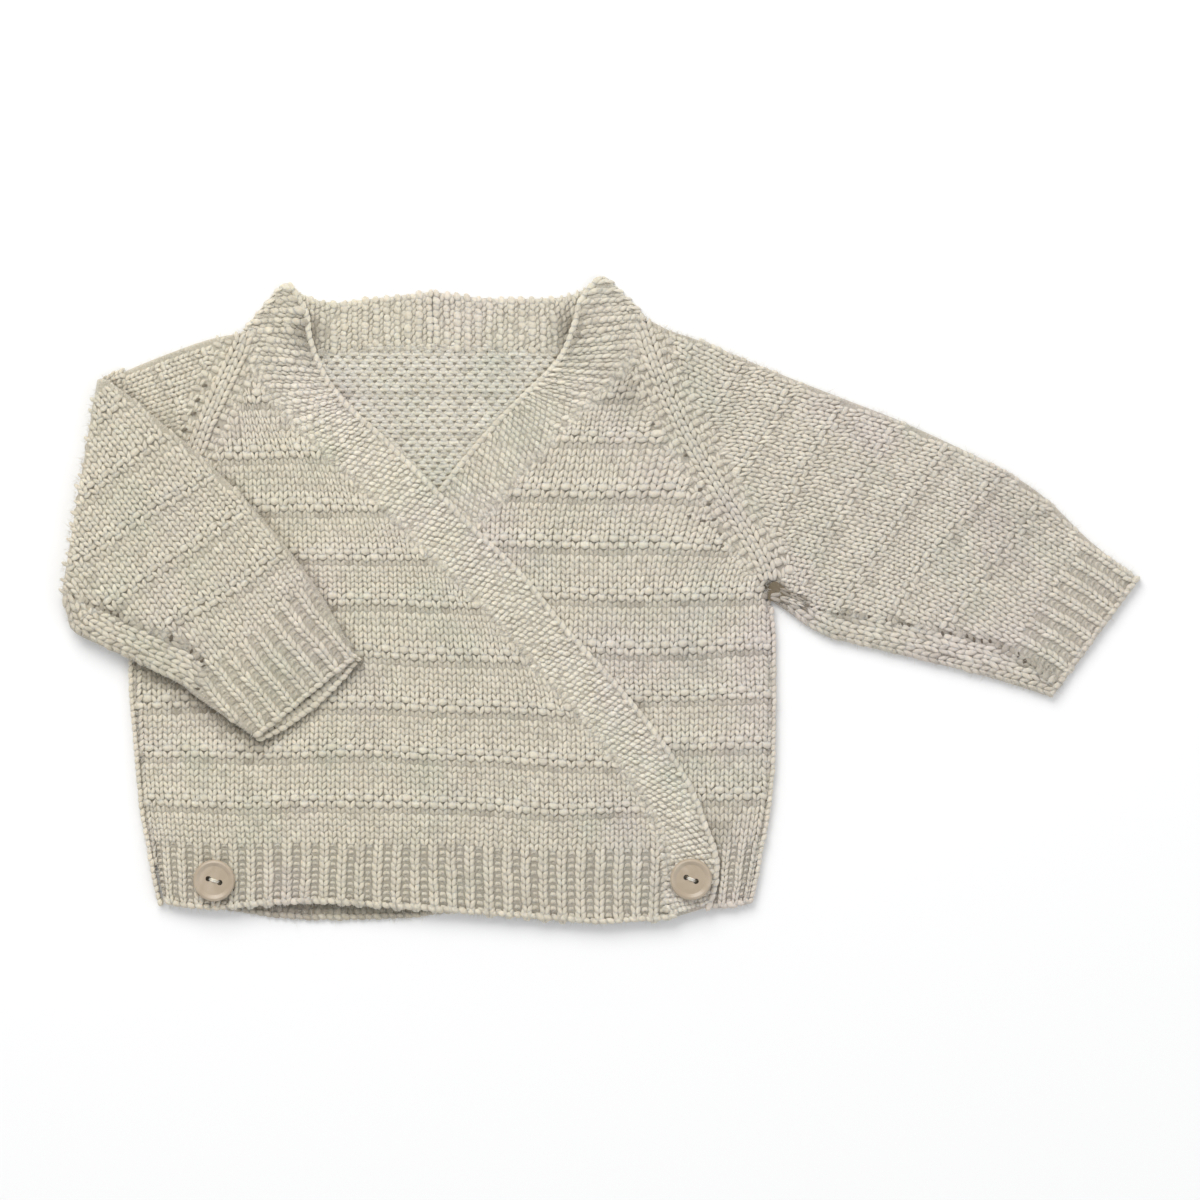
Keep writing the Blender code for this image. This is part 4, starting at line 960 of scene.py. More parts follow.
FRONT_PIECES = [
    stitches_piece(f"right_front_stitches_{name}",
                   knit(top_front_place, (0, 62), rows, top_front_chart, 11 + rows[0]))
    for name, rows in (("low", (0, 24)), ("middle", (24, 48)), ("high", (48, 92)))]
UNDER_PIECE = stitches_piece(
    "left_front_stitches", knit(under_front_place, (0, 50), (0, 94), under_front_chart, 31))

# %% [markdown]
# ## Rows of the sleeves
#
# A sleeve's rows run across it as shallow curves, and they turn as the sleeve bends. So each sleeve
# has stations: a row's number with the places of its lower end, middle and upper end. The columns
# are counted along each row from a line that follows the middle of the sleeve.

# %% Sleeve lattices
SLEEVE_REACH = 110.0


def sleeve_places(stations, middle_line):
    """A lattice from stations (row, low x, low y, middle x, middle y, top x, top y).

    A row is the quadratic curve through its low, middle and top points at t = 0, m and 1, where m
    is the middle's share of the way. It is low + t d + t (t - 1) e, with d = top - low and
    e = (middle - low - m d) / (m (m - 1)). A column is found by its length along the row from the
    point of the row nearest to the middle line.
    """
    fine = smooth_curve(stations, 6)
    t = np.linspace(-0.6, 1.6, 221)[:, None]
    reach = np.arange(-SLEEVE_REACH, SLEEVE_REACH + 0.1, 1.0)
    line = smooth_curve(middle_line, 12)
    grid = []
    for station in fine:
        low, middle, top = station[1:3], station[3:5], station[5:7]
        first, second = np.hypot(*(middle - low)), np.hypot(*(top - middle))
        m = first / (first + second)
        bend = (middle - low - m * (top - low)) / (m * (m - 1))
        curve = low + t * (top - low) + t * (t - 1) * bend
        length = arc_lengths(curve)
        away = ((curve[:, None] - line[None]) ** 2).sum(-1).min(1)
        start = length[np.argmin(away)]
        grid.append(np.stack([
            np.interp(reach + start, length, curve[:, 0]),
            np.interp(reach + start, length, curve[:, 1])], axis=-1))
    grid = np.array(grid)

    def place(column, row):
        u = np.interp(row, fine[:, 0], np.arange(len(fine)))
        v = np.clip(column * STITCH_WIDTH + SLEEVE_REACH, 0, len(reach) - 1.001)
        i, j = np.minimum(u.astype(int), len(fine) - 2), v.astype(int)
        u, v = (u - i)[..., None], (v - j)[..., None]
        this_row = mix(grid[i, j], grid[i, j + 1], v)
        return mix(this_row, mix(grid[i + 1, j], grid[i + 1, j + 1], v), u)

    return place


LEFT_SLEEVE_STATIONS = np.array([
    # row, low x, low y, middle x, middle y, top x, top y
    (-2, 184.8, -37.2, 203.6, -14.4, 219.6, 9.4),
    (0, 180.0, -38.4, 198.4, -16.0, 214.8, 8.0),
    (10, 154.0, -30.4, 175.2, -3.2, 194.4, 24.0),
    (19, 130.0, -24.0, 153.2, 9.6, 178.4, 40.4),
    (27, 110.4, -19.2, 135.2, 22.0, 161.2, 52.0),
    (35, 89.6, -13.6, 116.0, 26.8, 140.0, 62.4),
    (43, 75.2, -4.8, 96.8, 36.8, 120.8, 71.6),
    (51, 66.0, 16.0, 80.0, 48.8, 98.4, 80.0),
    (59, 50.8, 41.2, 64.8, 65.6, 78.8, 87.6),
    (67, 39.2, 65.2, 51.2, 84.0, 59.2, 96.8),
    (75, 27.2, 82.0, 33.2, 95.2, 40.0, 104.8),
    (85, 12.0, 104.0, 15.0, 111.0, 19.0, 118.0),
])
LEFT_SLEEVE_MIDDLE = np.array([
    (14.0, 82.0), (36.0, 70.0), (48.0, 68.0), (80.0, 63.2), (100.0, 59.2), (120.0, 53.6),
    (140.0, 46.4), (160.0, 37.2), (180.0, 26.8), (206.0, 11.2), (212.0, 7.0)])
FOLDED_STATIONS = np.array([
    (-2, -133.5, -57.6, -114.1, -42.9, -94.5, -27.1),
    (0, -136.8, -54.8, -116.8, -40.0, -98.0, -24.0),
    (13, -158.0, -28.0, -138.4, -12.8, -120.0, 4.0),
    (20, -180.0, -16.0, -150.4, 3.2, -126.4, 18.8),
    (28, -200.0, -4.8, -163.6, 20.8, -144.8, 34.0),
    (36, -210.8, 14.4, -176.0, 37.2, -158.4, 48.4),
    (44, -211.2, 38.0, -188.8, 54.4, -180.0, 61.2),
    (52, -216.0, 60.8, -201.6, 71.6, -187.2, 82.4),
    (62, -222.0, 88.0, -218.0, 94.0, -197.0, 108.0),
])
FOLDED_MIDDLE = FOLDED_STATIONS[:, 3:5]
SHOULDER_STATIONS = np.array([
    (51, -196.0, -20.0, -209.6, 24.0, -219.2, 76.0),
    (59, -183.2, 0.0, -196.8, 40.0, -204.8, 82.4),
    (67, -172.0, 26.0, -183.2, 58.0, -191.2, 88.8),
    (75, -160.0, 54.0, -168.0, 73.6, -176.0, 94.4),
    (83, -144.0, 67.2, -152.4, 84.0, -160.0, 100.0),
    (95, -122.0, 86.0, -128.0, 98.0, -134.0, 110.0),
])
SHOULDER_MIDDLE = SHOULDER_STATIONS[:, 5:7]


def on_face(plan, face, relief, outline):
    """A lattice's place in space: its plan, on a face of the cloth, with the relief of its rows.

    The relief fades over the last 5 mm before the outline, where the cloth is drawn round.
    """
    def place(column, row):
        x, y = wander(*np.moveaxis(plan(column, row), -1, 0), 11.0, -7.0)
        fade = np.clip(depth_in(outline, x, y) / 5, 0.1, 1)
        return spots(x, y, face(x, y) - SINK + relief(row) * fade)

    return place


def sleeve_chart(outline, hidden, offset, rib_rows, side=None):
    """A chart for a sleeve: cuff rib, ridges of seed stitch and plain knitting.

    The offset is how many rows a sleeve's first ridge comes after the fronts' first one.
    """
    near = "folded_sleeve" if outline == "shoulder" else None

    def chart(column, row, x, y):
        kind, rise, tone = fabric_kind(column, row - offset, rib_rows - offset)
        depth = depth_in(outline, x, y)
        kind[(kind == SEED) & (depth < 2.2)] = K
        rise = rise - 0.12 * (kind == SEED) - 0.5 * np.exp(-(depth / 1.8) ** 2)
        kind[kind == SEED] = B
        show_only(kind, x, y, outline, 0.9, hidden)
        kind[fold_shade(x, y) > HOLLOW_SHADE] = SKIP
        if side is not None:
            kind[raglan_gap(side, x, y) < RAGLAN_HALF] = SKIP
        # A sleeve has half the ridges' painted highlight and shadow, and more painted shade in its
        # cuff's purl columns. The shoulder has a painted shadow beside the folded sleeve.
        tone = np.where(kind == RIB_P, 1.5, 0.5) * tone
        return kind, rise, tone - fold_shade(x, y, near)

    return chart


def sleeve_piece(name, plan, face, strength, round_outline, rows, seed, outline, hidden, offset,
                 rib_rows, side=None):
    """Stitches of a sleeve or shoulder, whose ridges stand at a strength of the fronts' ones."""
    place = on_face(sleeve_places(*plan), face, lambda row: strength * ridge_relief(row - offset),
                    round_outline)
    chart = sleeve_chart(outline, hidden, offset, rib_rows, side)
    return stitches_piece(name, knit(place, (-28, 26), rows, chart, seed))


LEFT_SLEEVE_PIECE = sleeve_piece(
    "left_sleeve_stitches", (LEFT_SLEEVE_STATIONS, LEFT_SLEEVE_MIDDLE), left_sleeve_face, 0.45,
    "left_sleeve_round", (0, 84), 41, "left_sleeve", (("left_wrap", 0.6),), 2, 10, LEFT_SIDE)
FOLDED_PIECE = sleeve_piece(
    "right_sleeve_stitches", (FOLDED_STATIONS, FOLDED_MIDDLE), folded_sleeve_face, 0.8,
    "folded_sleeve", (0, 62), 51, "folded_sleeve", (("folded_wrap", 0.6),), 3, 13)
SHOULDER_PIECE = sleeve_piece(
    "right_shoulder_stitches", (SHOULDER_STATIONS, SHOULDER_MIDDLE), shoulder_face, 0.8,
    "shoulder_round", (52, 94), 61, "shoulder", (("folded_sleeve", 4.0),), 2, 0, RIGHT_SIDE)

# %% [markdown]
# ## Raglan lines
#
# Where a sleeve is joined to a front, the knitter works a line of two knit columns with two purl
# columns on each side. It slants from the neck to the underarm, and the line looks like a braid in
# a bumpy strip. It has its own lattice, whose columns run along the line.

# %% Ribbons of stitches along a line
def ribbon_place(line, face, pitch, width):
    """A lattice along a line: rows count along it by pitch, and columns square to it by width."""
    length = arc_lengths(line)

    def at(s):
        return np.array([np.interp(s, length, line[:, k]) for k in range(2)])

    def place(column, row):
        s = row * pitch
        x, y = at(s)
        dx, dy = at(s + 2) - at(s - 2)
        size = np.hypot(dx, dy) + 1e-9
        x = x + dy / size * column * width
        y = y - dx / size * column * width
        return spots(x, y, face(x, y) - SINK)

    return place, length[-1] / pitch


RAGLAN_PITCH = (3.5, 3.2)
# Eyelets beside the raglans: places where the yarn pulls open.
EYELETS = np.array([
    (21.2, 70.0), (34.0, 58.0), (40.0, 44.0), (43.2, 38.0), (35.2, 33.2), (41.2, 32.0),
    (45.6, 32.0), (48.4, 26.8), (49.6, 21.2), (-157.6, 85.6), (-155.2, 81.6), (-160.8, 80.0),
    (-162.4, 74.4), (-152.8, 69.2), (-165.6, 67.6), (-166.8, 62.4), (-158.8, 56.8)])
EYELET_SIZE = 3.0
EYELET_SINK = 0.40


def near_eyelets(x, y):
    """Distance to the nearest eyelet."""
    return np.sqrt(((x[:, None] - EYELETS[:, 0]) ** 2 + (y[:, None] - EYELETS[:, 1]) ** 2).min(1))


def eyelet_place(column, row):
    """A lattice of one column for each eyelet, centred on it."""
    spot = np.clip(np.floor(column).astype(int), 0, len(EYELETS) - 1)
    x = EYELETS[spot, 0] + EYELET_SIZE * (column - spot - 0.5)
    y = EYELETS[spot, 1] + EYELET_SIZE * (row - 0.5)
    return spots(x, y, joined_face(x, y) - EYELET_SINK)


def raglan(name, side, y_low, y_high, layers, hidden, seed):
    """The braid of a raglan line with its bumpy strips, from low to high, and its eyelets."""
    line = between(side, 1, y_low, y_high)[::-1]
    place, rows = ribbon_place(line, joined_face, RAGLAN_PITCH[1], RAGLAN_PITCH[0])

    def chart(column, row, x, y):
        kind = np.where(np.abs(column + 0.5) < 1, BR, np.where((column + row) % 2 == 0, B, K))
        kind[np.maximum(*(depth_in(layer, x, y) for layer in layers)) < 1.0] = SKIP
        kind[fold_shade(x, y) > HOLLOW_SHADE] = SKIP
        show_only(kind, x, y, hidden=hidden)
        kind[(near_eyelets(x, y) < EYELET_SIZE / 2) & (kind != BR)] = SKIP
        rise = np.where(kind == BR, 0.35, np.where(kind == B, 0.0, -0.15))
        return kind, rise, np.where(kind == BR, -0.2, -0.1)

    def eyelet_chart(column, row, x, y):
        near = np.abs(x - read_off(side, 1, 0, y)) < 25.0
        return np.where(near, HO, SKIP), np.zeros(len(x)), np.zeros(len(x))

    braid = knit(place, (-3, 3), (0, int(rows)), chart, seed, RAGLAN_PITCH)
    # The eyelets are dark beads: painted shade seen through the holes.
    holes = knit(eyelet_place, (0, len(EYELETS)), (0, 1), eyelet_chart, seed + 7,
                 (EYELET_SIZE, EYELET_SIZE), 2.5)
    return [stitches_piece(name, braid), stitches_piece(name + "_eyelets", holes, HOLE_SHADE_WOOL)]


LEFT_RAGLAN = raglan("left_raglan", LEFT_SIDE, 8.0, 114.0, ("left_front", "left_sleeve"), (), 71)
RIGHT_RAGLAN = raglan("right_raglan", RIGHT_SIDE, 40.0, 107.5, ("right_front", "shoulder"),
                      (("folded_sleeve", 3.0),), 81)

# %% [markdown]
# ## The back inside the neck
#
# Between the bands the inside of the back shows. The wrong side of plain knitting is all small
# arches of yarn in a brick pattern, with two lines of ridges from the right side, drawn as lines of
# painted shade.

# %% Inside of the back
ARCH_PITCH = (4.25, 2.35)
INSIDE_LOW = 36.0
INSIDE_LINES = (81.2, 65.2)


def back_place(column, row):
    """Wide, low arches: each row is shifted by half a stitch from the last."""
    x = -190.0 + ARCH_PITCH[0] * (column + 0.5 * (np.floor(row) % 2))
    return spots(x, -30.0 + ARCH_PITCH[1] * row, WALL - SINK)


def back_chart(column, row, x, y):
    """Arches of the back between the bands."""
    kind = np.full(column.shape, P)
    layers = ("top_band", "right_front", "under_band", "left_front")
    show_only(kind, x, y, "back", 0.3, [(layer, 3.5) for layer in layers])
    kind[y < INSIDE_LOW] = SKIP
    # The two ridge lines are only painted darker: painted shade, with no relief.
    lines = sum(np.exp(-((y - line) / 1.3) ** 2) for line in INSIDE_LINES)
    return kind, np.zeros(x.shape), 0.8 - 1.0 * lines - fold_shade(x, y)


BACK_PIECE = stitches_piece("back_stitches", knit(back_place, (9, 54), (28, 60), back_chart, 91))

# %% [markdown]
# ## Garter stitch bands
#
# The bands are garter stitch: every row is knit, so close ridges of small bumps run across the
# band. Their free edge is a neat chain, and a lumpy line of picked up stitches runs where they
# join.

# %% Band lattices
BAND_BUMPS = 8
RIDGE_PITCH = 4.28


def band_lattice(rows, level_at, folded):
    """A lattice on a band: columns run from its free edge to its seam, and rows along it.

    Near a tip the ridges lie level, so at a share f of the way from the seam to the free edge a row
    is up to 17 f mm further down the band. Above the tip a folded band turns over it: at a distance
    s past the fold line it is r sin(s / r) further out and r cos(s / r) above the fold's axis.
    """
    middle = (rows[:, :2] + rows[:, 2:]) / 2
    length = arc_lengths(middle)
    axis, radius = FRONT_LEVEL - GAP / 2, WALL + GAP / 2

    def distance(column, row):
        s = row * RIDGE_PITCH / 2
        share = (column + 0.5 * (np.floor(row) % 2) - 0.25) / BAND_BUMPS
        if folded:
            s = s + 17.0 * np.clip(1 - share, 0, 1) * (1 - soft_step((s - 4) / 70))
        return s, share

    def place(column, row):
        s, share = distance(column, row)
        free = [np.interp(s, length, rows[:, k]) for k in range(4)]
        x = mix(free[0], free[2], share)
        y = mix(free[1], free[3], share)
        z = level_at(x, y) + WALL
        if folded:
            past = np.clip(-s, 0, np.pi * radius)
            dx, dy = rows[0, 2] - rows[0, 0], rows[0, 3] - rows[0, 1]
            size = np.hypot(dx, dy) * folded
            reach = radius * np.sin(past / radius)
            x = x + dy / size * reach
            y = y - dx / size * reach
            z = np.where(s < 0, axis + radius * np.cos(past / radius), z)
        z = z - rounded(column * 2.6, 1.8, 0.9) + 0.12 * np.sin(x / 4.1 + 2.0 * np.sin(y / 7.0))
        return spots(x, y, z - SINK)

    return place, distance, int(length[-1] / RIDGE_PITCH * 2)


RIDGES_UNTIL = 22
RIDGES_SPREAD = 5.0
FADING_ROWS = 34


def garter_chart(distance, hidden, base):
    """Ridges of bumps on even rows and lower bumps between.

    The ridges are clearest in the first rows, and further on the even rows get lower bumps too,
    first here and there and then all of them.
    """
    def chart(column, row, x, y):
        even = row % 2 == 0
        chance = np.random.default_rng(len(row)).normal(0, RIDGES_SPREAD, len(row))
        kind = np.where(even & (row + chance < RIDGES_UNTIL), GA, GB)
        kind[distance(column + 0.5, row + 0.5)[0] < -3.0] = SKIP
        show_only(kind, x, y, hidden=hidden)
        clear = 0.9 - 0.65 * soft_step((row - 12) / FADING_ROWS)
        rise = np.where(even, 0.2, -0.1) * clear
        # Ridge rows are painted lighter and the rows between darker: painted highlight and shade.
        tone = base * soft_step((row + 8) / FADING_ROWS) + np.where(even, 0.15, -0.35) * clear
        return kind, rise, tone - fold_shade(x, y)

    return chart


def band_piece(name, rows, level_at, folded, hidden, base, seed, first=0):
    """Garter bumps of one band."""
    place, distance, count = band_lattice(rows, level_at, folded)
    chart = garter_chart(distance, hidden, base)
    return stitches_piece(
        name, knit(place, (0, BAND_BUMPS + 1), (first, count), chart, seed, wobble=2.0))


UNDER_HIDDEN = (("top_band", 3.0), ("right_front", 1.0))
TIP_ROWS = -11
BAND_PIECES = [
    band_piece("right_band_stitches", RIGHT_BAND, top_level, 1, (), 1.1, 101, TIP_ROWS),
    band_piece("left_band_stitches", LEFT_BAND, under_level, -1,
               (("right_front", 1.0), ("top_band", 4.0)), 0.6, 111, TIP_ROWS),
    band_piece("right_neck_stitches", RIGHT_NECK, table_level, 0, (("top_band", 3.0),), 0.0, 121),
    band_piece("left_neck_stitches", LEFT_NECK, table_level, 0, (("under_band", 3.0),), 0.0, 131),
]

# %% [markdown]
# ## Edges
#
# The edges of knitting are its most telling part. The hem and cuffs start with a row of cast on
# loops, the free edge of a band is a smooth chain, and at the sides the fabric rolls over. Each is
# a ribbon of long loops that follows the edge at the height of its layer.

# %% Loops along the edges
LOOP_LIFT = 1.5


def offset_line(line, out):
    """A line shifted square to its own direction, to its right for positive distances."""
    way = np.gradient(line[:, :2], axis=0)
    way /= np.linalg.norm(way, axis=1, keepdims=True) + 1e-12
    return line[:, :2] + out * np.stack([way[:, 1], -way[:, 0]], axis=-1)


def edge_loops(name, jobs, seed):
    """Loops along several edges, as one piece.

    A job is (line, distance to its right, level, pitch, kind, layers that hide it, rise, tone). The
    loops' middles lie at that distance from the line, 1.5 mm above the level, and a cord's loops
    are laid more evenly.
    """
    batches = []
    for number, (line, right, level, pitch, loop, hidden, rise, tone) in enumerate(jobs):
        start = offset_line(line, right - STITCH_WIDTH / 2)
        place, rows = ribbon_place(start, above(level, LOOP_LIFT), pitch, STITCH_WIDTH)

        def chart(column, row, x, y, loop=loop, hidden=hidden, rise=rise, tone=tone):
            kind = np.full(column.shape, loop)
            show_only(kind, x, y, hidden=hidden)
            return kind, np.full(x.shape, rise), np.full(x.shape, tone)

        batches += knit(place, (0, 1), (0, max(1, round(rows))), chart, seed + 10 * number,
                        (STITCH_WIDTH, pitch), 0.5 if loop == CORD else 1.0)
    return stitches_piece(name, batches)


CUFF_END = np.array([(180.6, -38.8), (189.2, -27.1), (197.9, -15.4), (206.6, -3.7), (215.2, 8.0)])
FOLDED_CUFF_END = np.array([
    (-136.8, -55.2), (-126.9, -47.1), (-117.0, -39.0), (-107.1, -30.9), (-97.2, -22.8)])
LOWER_CUFF_SAG = np.array([[0.1], [0.8], [1.0], [0.8], [0.1]])
LOWER_CUFF_END = FOLDED_CUFF_END + np.array([2.0, -3.0]) * LOWER_CUFF_SAG
BODY_RIGHT = between(RIGHT_SIDE, 1, -121.0, 2.0)
BODY_LEFT = between(LEFT_SIDE, 1, -121.0, -2.5)
HEM_EDGES = edge_loops("hem_loops", [
    (FRONT_HEM, -1.1, top_level, 3.1, CAST, (), 0.0, 0.05),
    (between(UNDER_HEM, 0, 38.0, 59.0), -1.1, under_level, 3.1, CAST, (("top_band", 1.0),),
     0.0, 0.0),
    # The back's hem rows are darker: painted shadow under the front's hem.
    (BACK_HEM, -1.1, table_level, 3.1, CAST, (), 0.0, -1.2),
    (BACK_HEM, -3.2, table_level, 2.6, B, (), -0.1, -2.0),
    (BACK_HEM, -5.2, table_level, 2.9, B, (), -0.2, -2.6),
    (BODY_RIGHT, 1.0, top_level, 2.6, L, (), 0.0, 0.0),
    # The back's side loops are a little darker: painted shade under the fronts.
    (BODY_RIGHT, 1.0, table_level, 2.6, L, (), 0.0, -0.2),
    (BODY_LEFT, -1.0, under_level, 2.6, L, (), 0.0, 0.0),
    (BODY_LEFT, -1.0, table_level, 2.6, L, (), 0.0, -0.2),
], 201)
CUFF_EDGES = edge_loops("left_cuff_loops", [
    (CUFF_END, -1.1, flat(SLEEVE_HALF), 3.1, CAST, (), 0.0, 0.05),
    # The lower layer's loops are a little darker: painted shade.
    (CUFF_END, -1.1, table_level, 3.1, CAST, (), 0.0, -0.1),
], 301)
FOLDED_EDGES = edge_loops("right_cuff_loops", [
    (FOLDED_CUFF_END, -0.9, folded_mid_level, 3.1, CAST, (), 0.1, 0.05),
    # The lower layer's loops are darker: painted shade under the upper layer.
    (LOWER_CUFF_END, 0.6, folded_low_level, 3.1, CAST, (), 0.0, -0.1),
    (LOWER_CUFF_END, -1.6, folded_low_level, 2.6, B, (), 0.0, -0.4),
], 321)


def band_edges(name, band, neck, tip, side, level, hidden, neck_hidden, seed):
    """The chain on a band's free edge, the cords round its tip and the line of its seam."""
    return edge_loops(name, [
        # The chains and cords are a little lighter: painted highlight on the rolled edges.
        (band[:, :2], -1.2 * side, level, 3.1, CORD, hidden, -0.2, 0.3),
        (np.linspace(*tip, 12), -0.8, flat(-0.1), 2.6, CORD, (), 0.0, 0.0),
        (np.linspace(*tip, 12), -0.8, flat(1.1), 2.6, CORD, (), 0.0, 0.2),
        (band[:, 2:], -0.6 * side, level, 2.6, B, hidden, 0.0, 0.0),
        (band[:, 2:], 1.7 * side, level, 3.1, B, hidden, 0.0, 0.05),
        (neck[:, :2], -1.2 * side, table_level, 3.1, CORD, neck_hidden, -0.2, 0.2),
    ], seed)


BAND_EDGES = band_edges(
    "right_band_chain", RIGHT_BAND, RIGHT_NECK, ((-140.4, 107.6), (-125.6, 125.1)), 1, top_level,
    (), (("top_band", 0.5),), 341)
UNDER_BAND_EDGES = band_edges(
    "left_band_chain", LEFT_BAND, LEFT_NECK, ((0.9, 127.6), (14.8, 114.4)), -1, under_level,
    UNDER_HIDDEN, (("under_band", 0.5),), 361)

# %% [markdown]
# The underarm seam of a sleeve lies a little inside its lower edge, because the sleeve is turned
# over there. So a strip of the underside shows, and the seam between is a row of knots and holes.

# %% Underarm seams
WRAP_PITCH = (-4.1, 3.4)
KNOT_PITCH = 3.3
HOLE_SHARE = 0.62


def wrap(label, name, sleeve, low_edge, seam, face, count, seed):
    """The strip between a sleeve's seam and its lower edge, and the knots and holes of the seam.

    Its columns of stitches run along the sleeve. Knots and holes take turns along the seam.
    """
    place, rows = ribbon_place(low_edge, face, WRAP_PITCH[1], WRAP_PITCH[0])

    def chart(column, row, x, y):
        kind = np.full(column.shape, K)
        show_only(kind, x, y, name + "_wrap", -0.3)
        # Painted shade: the strip darkens towards the lower edge, where the cloth turns under.
        edge = 0.9 * np.exp(-(depth_in(sleeve, x, y) / 3.5) ** 2)
        return kind, np.zeros(x.shape), -fold_shade(x, y) - edge

    strip = knit(place, (0, count), (0, int(rows)), chart, seed, OWN_PITCH, 1.6)
    seam_place, knots = ribbon_place(
        offset_line(seam, -STITCH_WIDTH / 2), face, KNOT_PITCH, STITCH_WIDTH)
    is_hole = np.random.default_rng(seed + 1).random(int(knots)) < HOLE_SHARE

    def along_seam(chosen, kind, rise, number, wobble):
        def chart(column, row, x, y):
            kind_here = np.where(chosen[row], kind, SKIP)
            # Knots and holes get a little painted shade and half the seam's painted shade.
            return kind_here, np.full(x.shape, rise), -0.3 - 0.5 * fold_shade(x, y)

        pitch = (STITCH_WIDTH, KNOT_PITCH)
        return knit(seam_place, (0, 1), (0, int(knots)), chart, number, pitch, wobble)

    strip += along_seam(~is_hole, B, 0.3, seed + 2, 2.0)
    # The holes are dark beads: painted shade seen through the seam.
    holes = along_seam(is_hole, HO, 0.42, seed + 3, 2.5)
    return [stitches_piece(f"{label}_sleeve_wrap", strip),
            stitches_piece(f"{label}_sleeve_seam", holes, HOLE_SHADE_WOOL)]


LEFT_WRAP = wrap(
    "left", "left", "left_sleeve", SLEEVE_LOW_EDGE, LEFT_SEAM, left_sleeve_face, 4, 401)
RIGHT_WRAP = wrap(
    "right", "folded", "folded_sleeve", FOLDED_LOW_EDGE, FOLDED_SEAM, folded_sleeve_face, 5, 421)

# %% [markdown]
# ## The hollow under the left arm
#
# Where the sleeve meets the side, a small web of cloth sinks into the shade. Nothing can be told in
# its darkest part, so it is a smooth sheet there in painted shade, and a few stitches come out of
# the painted shade along it.

# %% Hollow
WEB_HIGH = smooth_curve([(67.6, 6.0), (70.0, 7.4), (75.0, 4.2), (78.0, 2.4), (81.0, 0.2)], 6)
WEB_LOW = smooth_curve([(67.0, 0.4), (69.0, -0.6), (74.0, -1.0), (78.0, -2.0), (81.0, -2.6)], 6)
WEB_GRID = (25, 9)


def hollow_web(along, share):
    """A web between two lines: its middle sags by 0.3 mm at the body and not at all at its end."""
    number = np.arange(len(WEB_HIGH))
    at = along * number[-1]
    x, y = (mix(np.interp(at, number, WEB_LOW[:, k]), np.interp(at, number, WEB_HIGH[:, k]), share)
            for k in range(2))
    z = mix(joined_face(x, y), left_sleeve_face(x, y), along) + 0.2
    return spots(x, y, z - 0.3 * np.sin(np.pi * share) * (1 - along))


def web_piece(name):
    """The web as a grid of points, in painted shade that is darkest at the body."""
    rows, columns = WEB_GRID
    share, along = (grid.ravel() for grid in np.meshgrid(
        np.linspace(0, 1, columns), np.linspace(0, 1, rows)))
    points = hollow_web(along, share)
    tone = -np.clip(5.8 - 2.6 * along - 2.2 * (1 - share) * along, 0.4, 5.5)
    return new_piece(name, points, [grid_faces(rows, columns)], STITCH_WOOL, tone,
                     points[:, :2] / STITCH_WIDTH)


def web_place(column, row):
    """Two columns cross the web from its upper line and five rows run along it."""
    return hollow_web(np.clip(row / 5.0, 0, 1), 1 - column / 2.0)


def web_chart(column, row, x, y):
    """Stitches out of the painted shade, lighter along the sleeve and toward its lower edge."""
    kind = np.where((row < 2) & (column == 0) | (row < 1), SKIP, K)
    return kind, np.full(x.shape, -0.1), -np.clip(4.4 - 0.7 * row - 1.6 * column, 0.2, 4)


LEFT_WRAP += [web_piece("left_underarm_web"), stitches_piece(
    "left_underarm_stitches", knit(web_place, (0, 2), (0, 5), web_chart, 441))]

# %% [markdown]
# ## Fuzz
#
# Fine wool has a halo of loose fibres, which softens the stitches and the garment's outline. A
# fibre is a needle with three thin sides. Its root lies on the face of its layer and it leans
# almost flat.

# %% Loose fibres
NEEDLE_SIDES = np.array([[0, 1, 3], [1, 2, 3], [2, 0, 3]])


def needles(cells, count, near, outline, face, rng):
    """Points of fibres with roots in some cells of the map, and a tone for each point.

    Near an edge the fibres are shorter and point outwards, down the slope of the map.
    """
    slope_y, slope_x = np.gradient(MAPS[outline], MAP_STEP)
    cell = rng.choice(cells, count)
    grid_x, grid_y = np.meshgrid(MAP_X, MAP_Y)
    x = grid_x.ravel()[cell] + rng.uniform(-0.4, 0.4, count)
    y = grid_y.ravel()[cell] + rng.uniform(-0.4, 0.4, count)
    root = spots(x, y, face(x, y) - 0.05)
    way = rng.normal(0, 1, (count, 3)) * (1, 1, 0.25)
    if near:
        way[:, 0] -= 1.4 * slope_x.ravel()[cell]
        way[:, 1] -= 1.4 * slope_y.ravel()[cell]
    way[:, 2] = np.abs(way[:, 2])
    way /= np.linalg.norm(way, axis=1, keepdims=True)
    side = np.cross(way, (0.0, 0.0, 1.0))
    side /= np.linalg.norm(side, axis=1, keepdims=True) + 1e-9
    other = np.cross(way, side)
    long = rng.gamma(4.0, 0.42 if near else 0.6, (count, 1))
    thin = rng.uniform(0.07, 0.12, (count, 1))
    base = [root + thin * (side * np.cos(q) + other * np.sin(q))
            for q in np.radians((90, 210, 330))]
    points = np.stack([*base, root + way * long], axis=1).reshape(-1, 3)
    return points, np.repeat(rng.normal(0.6, 0.4, count), 4)


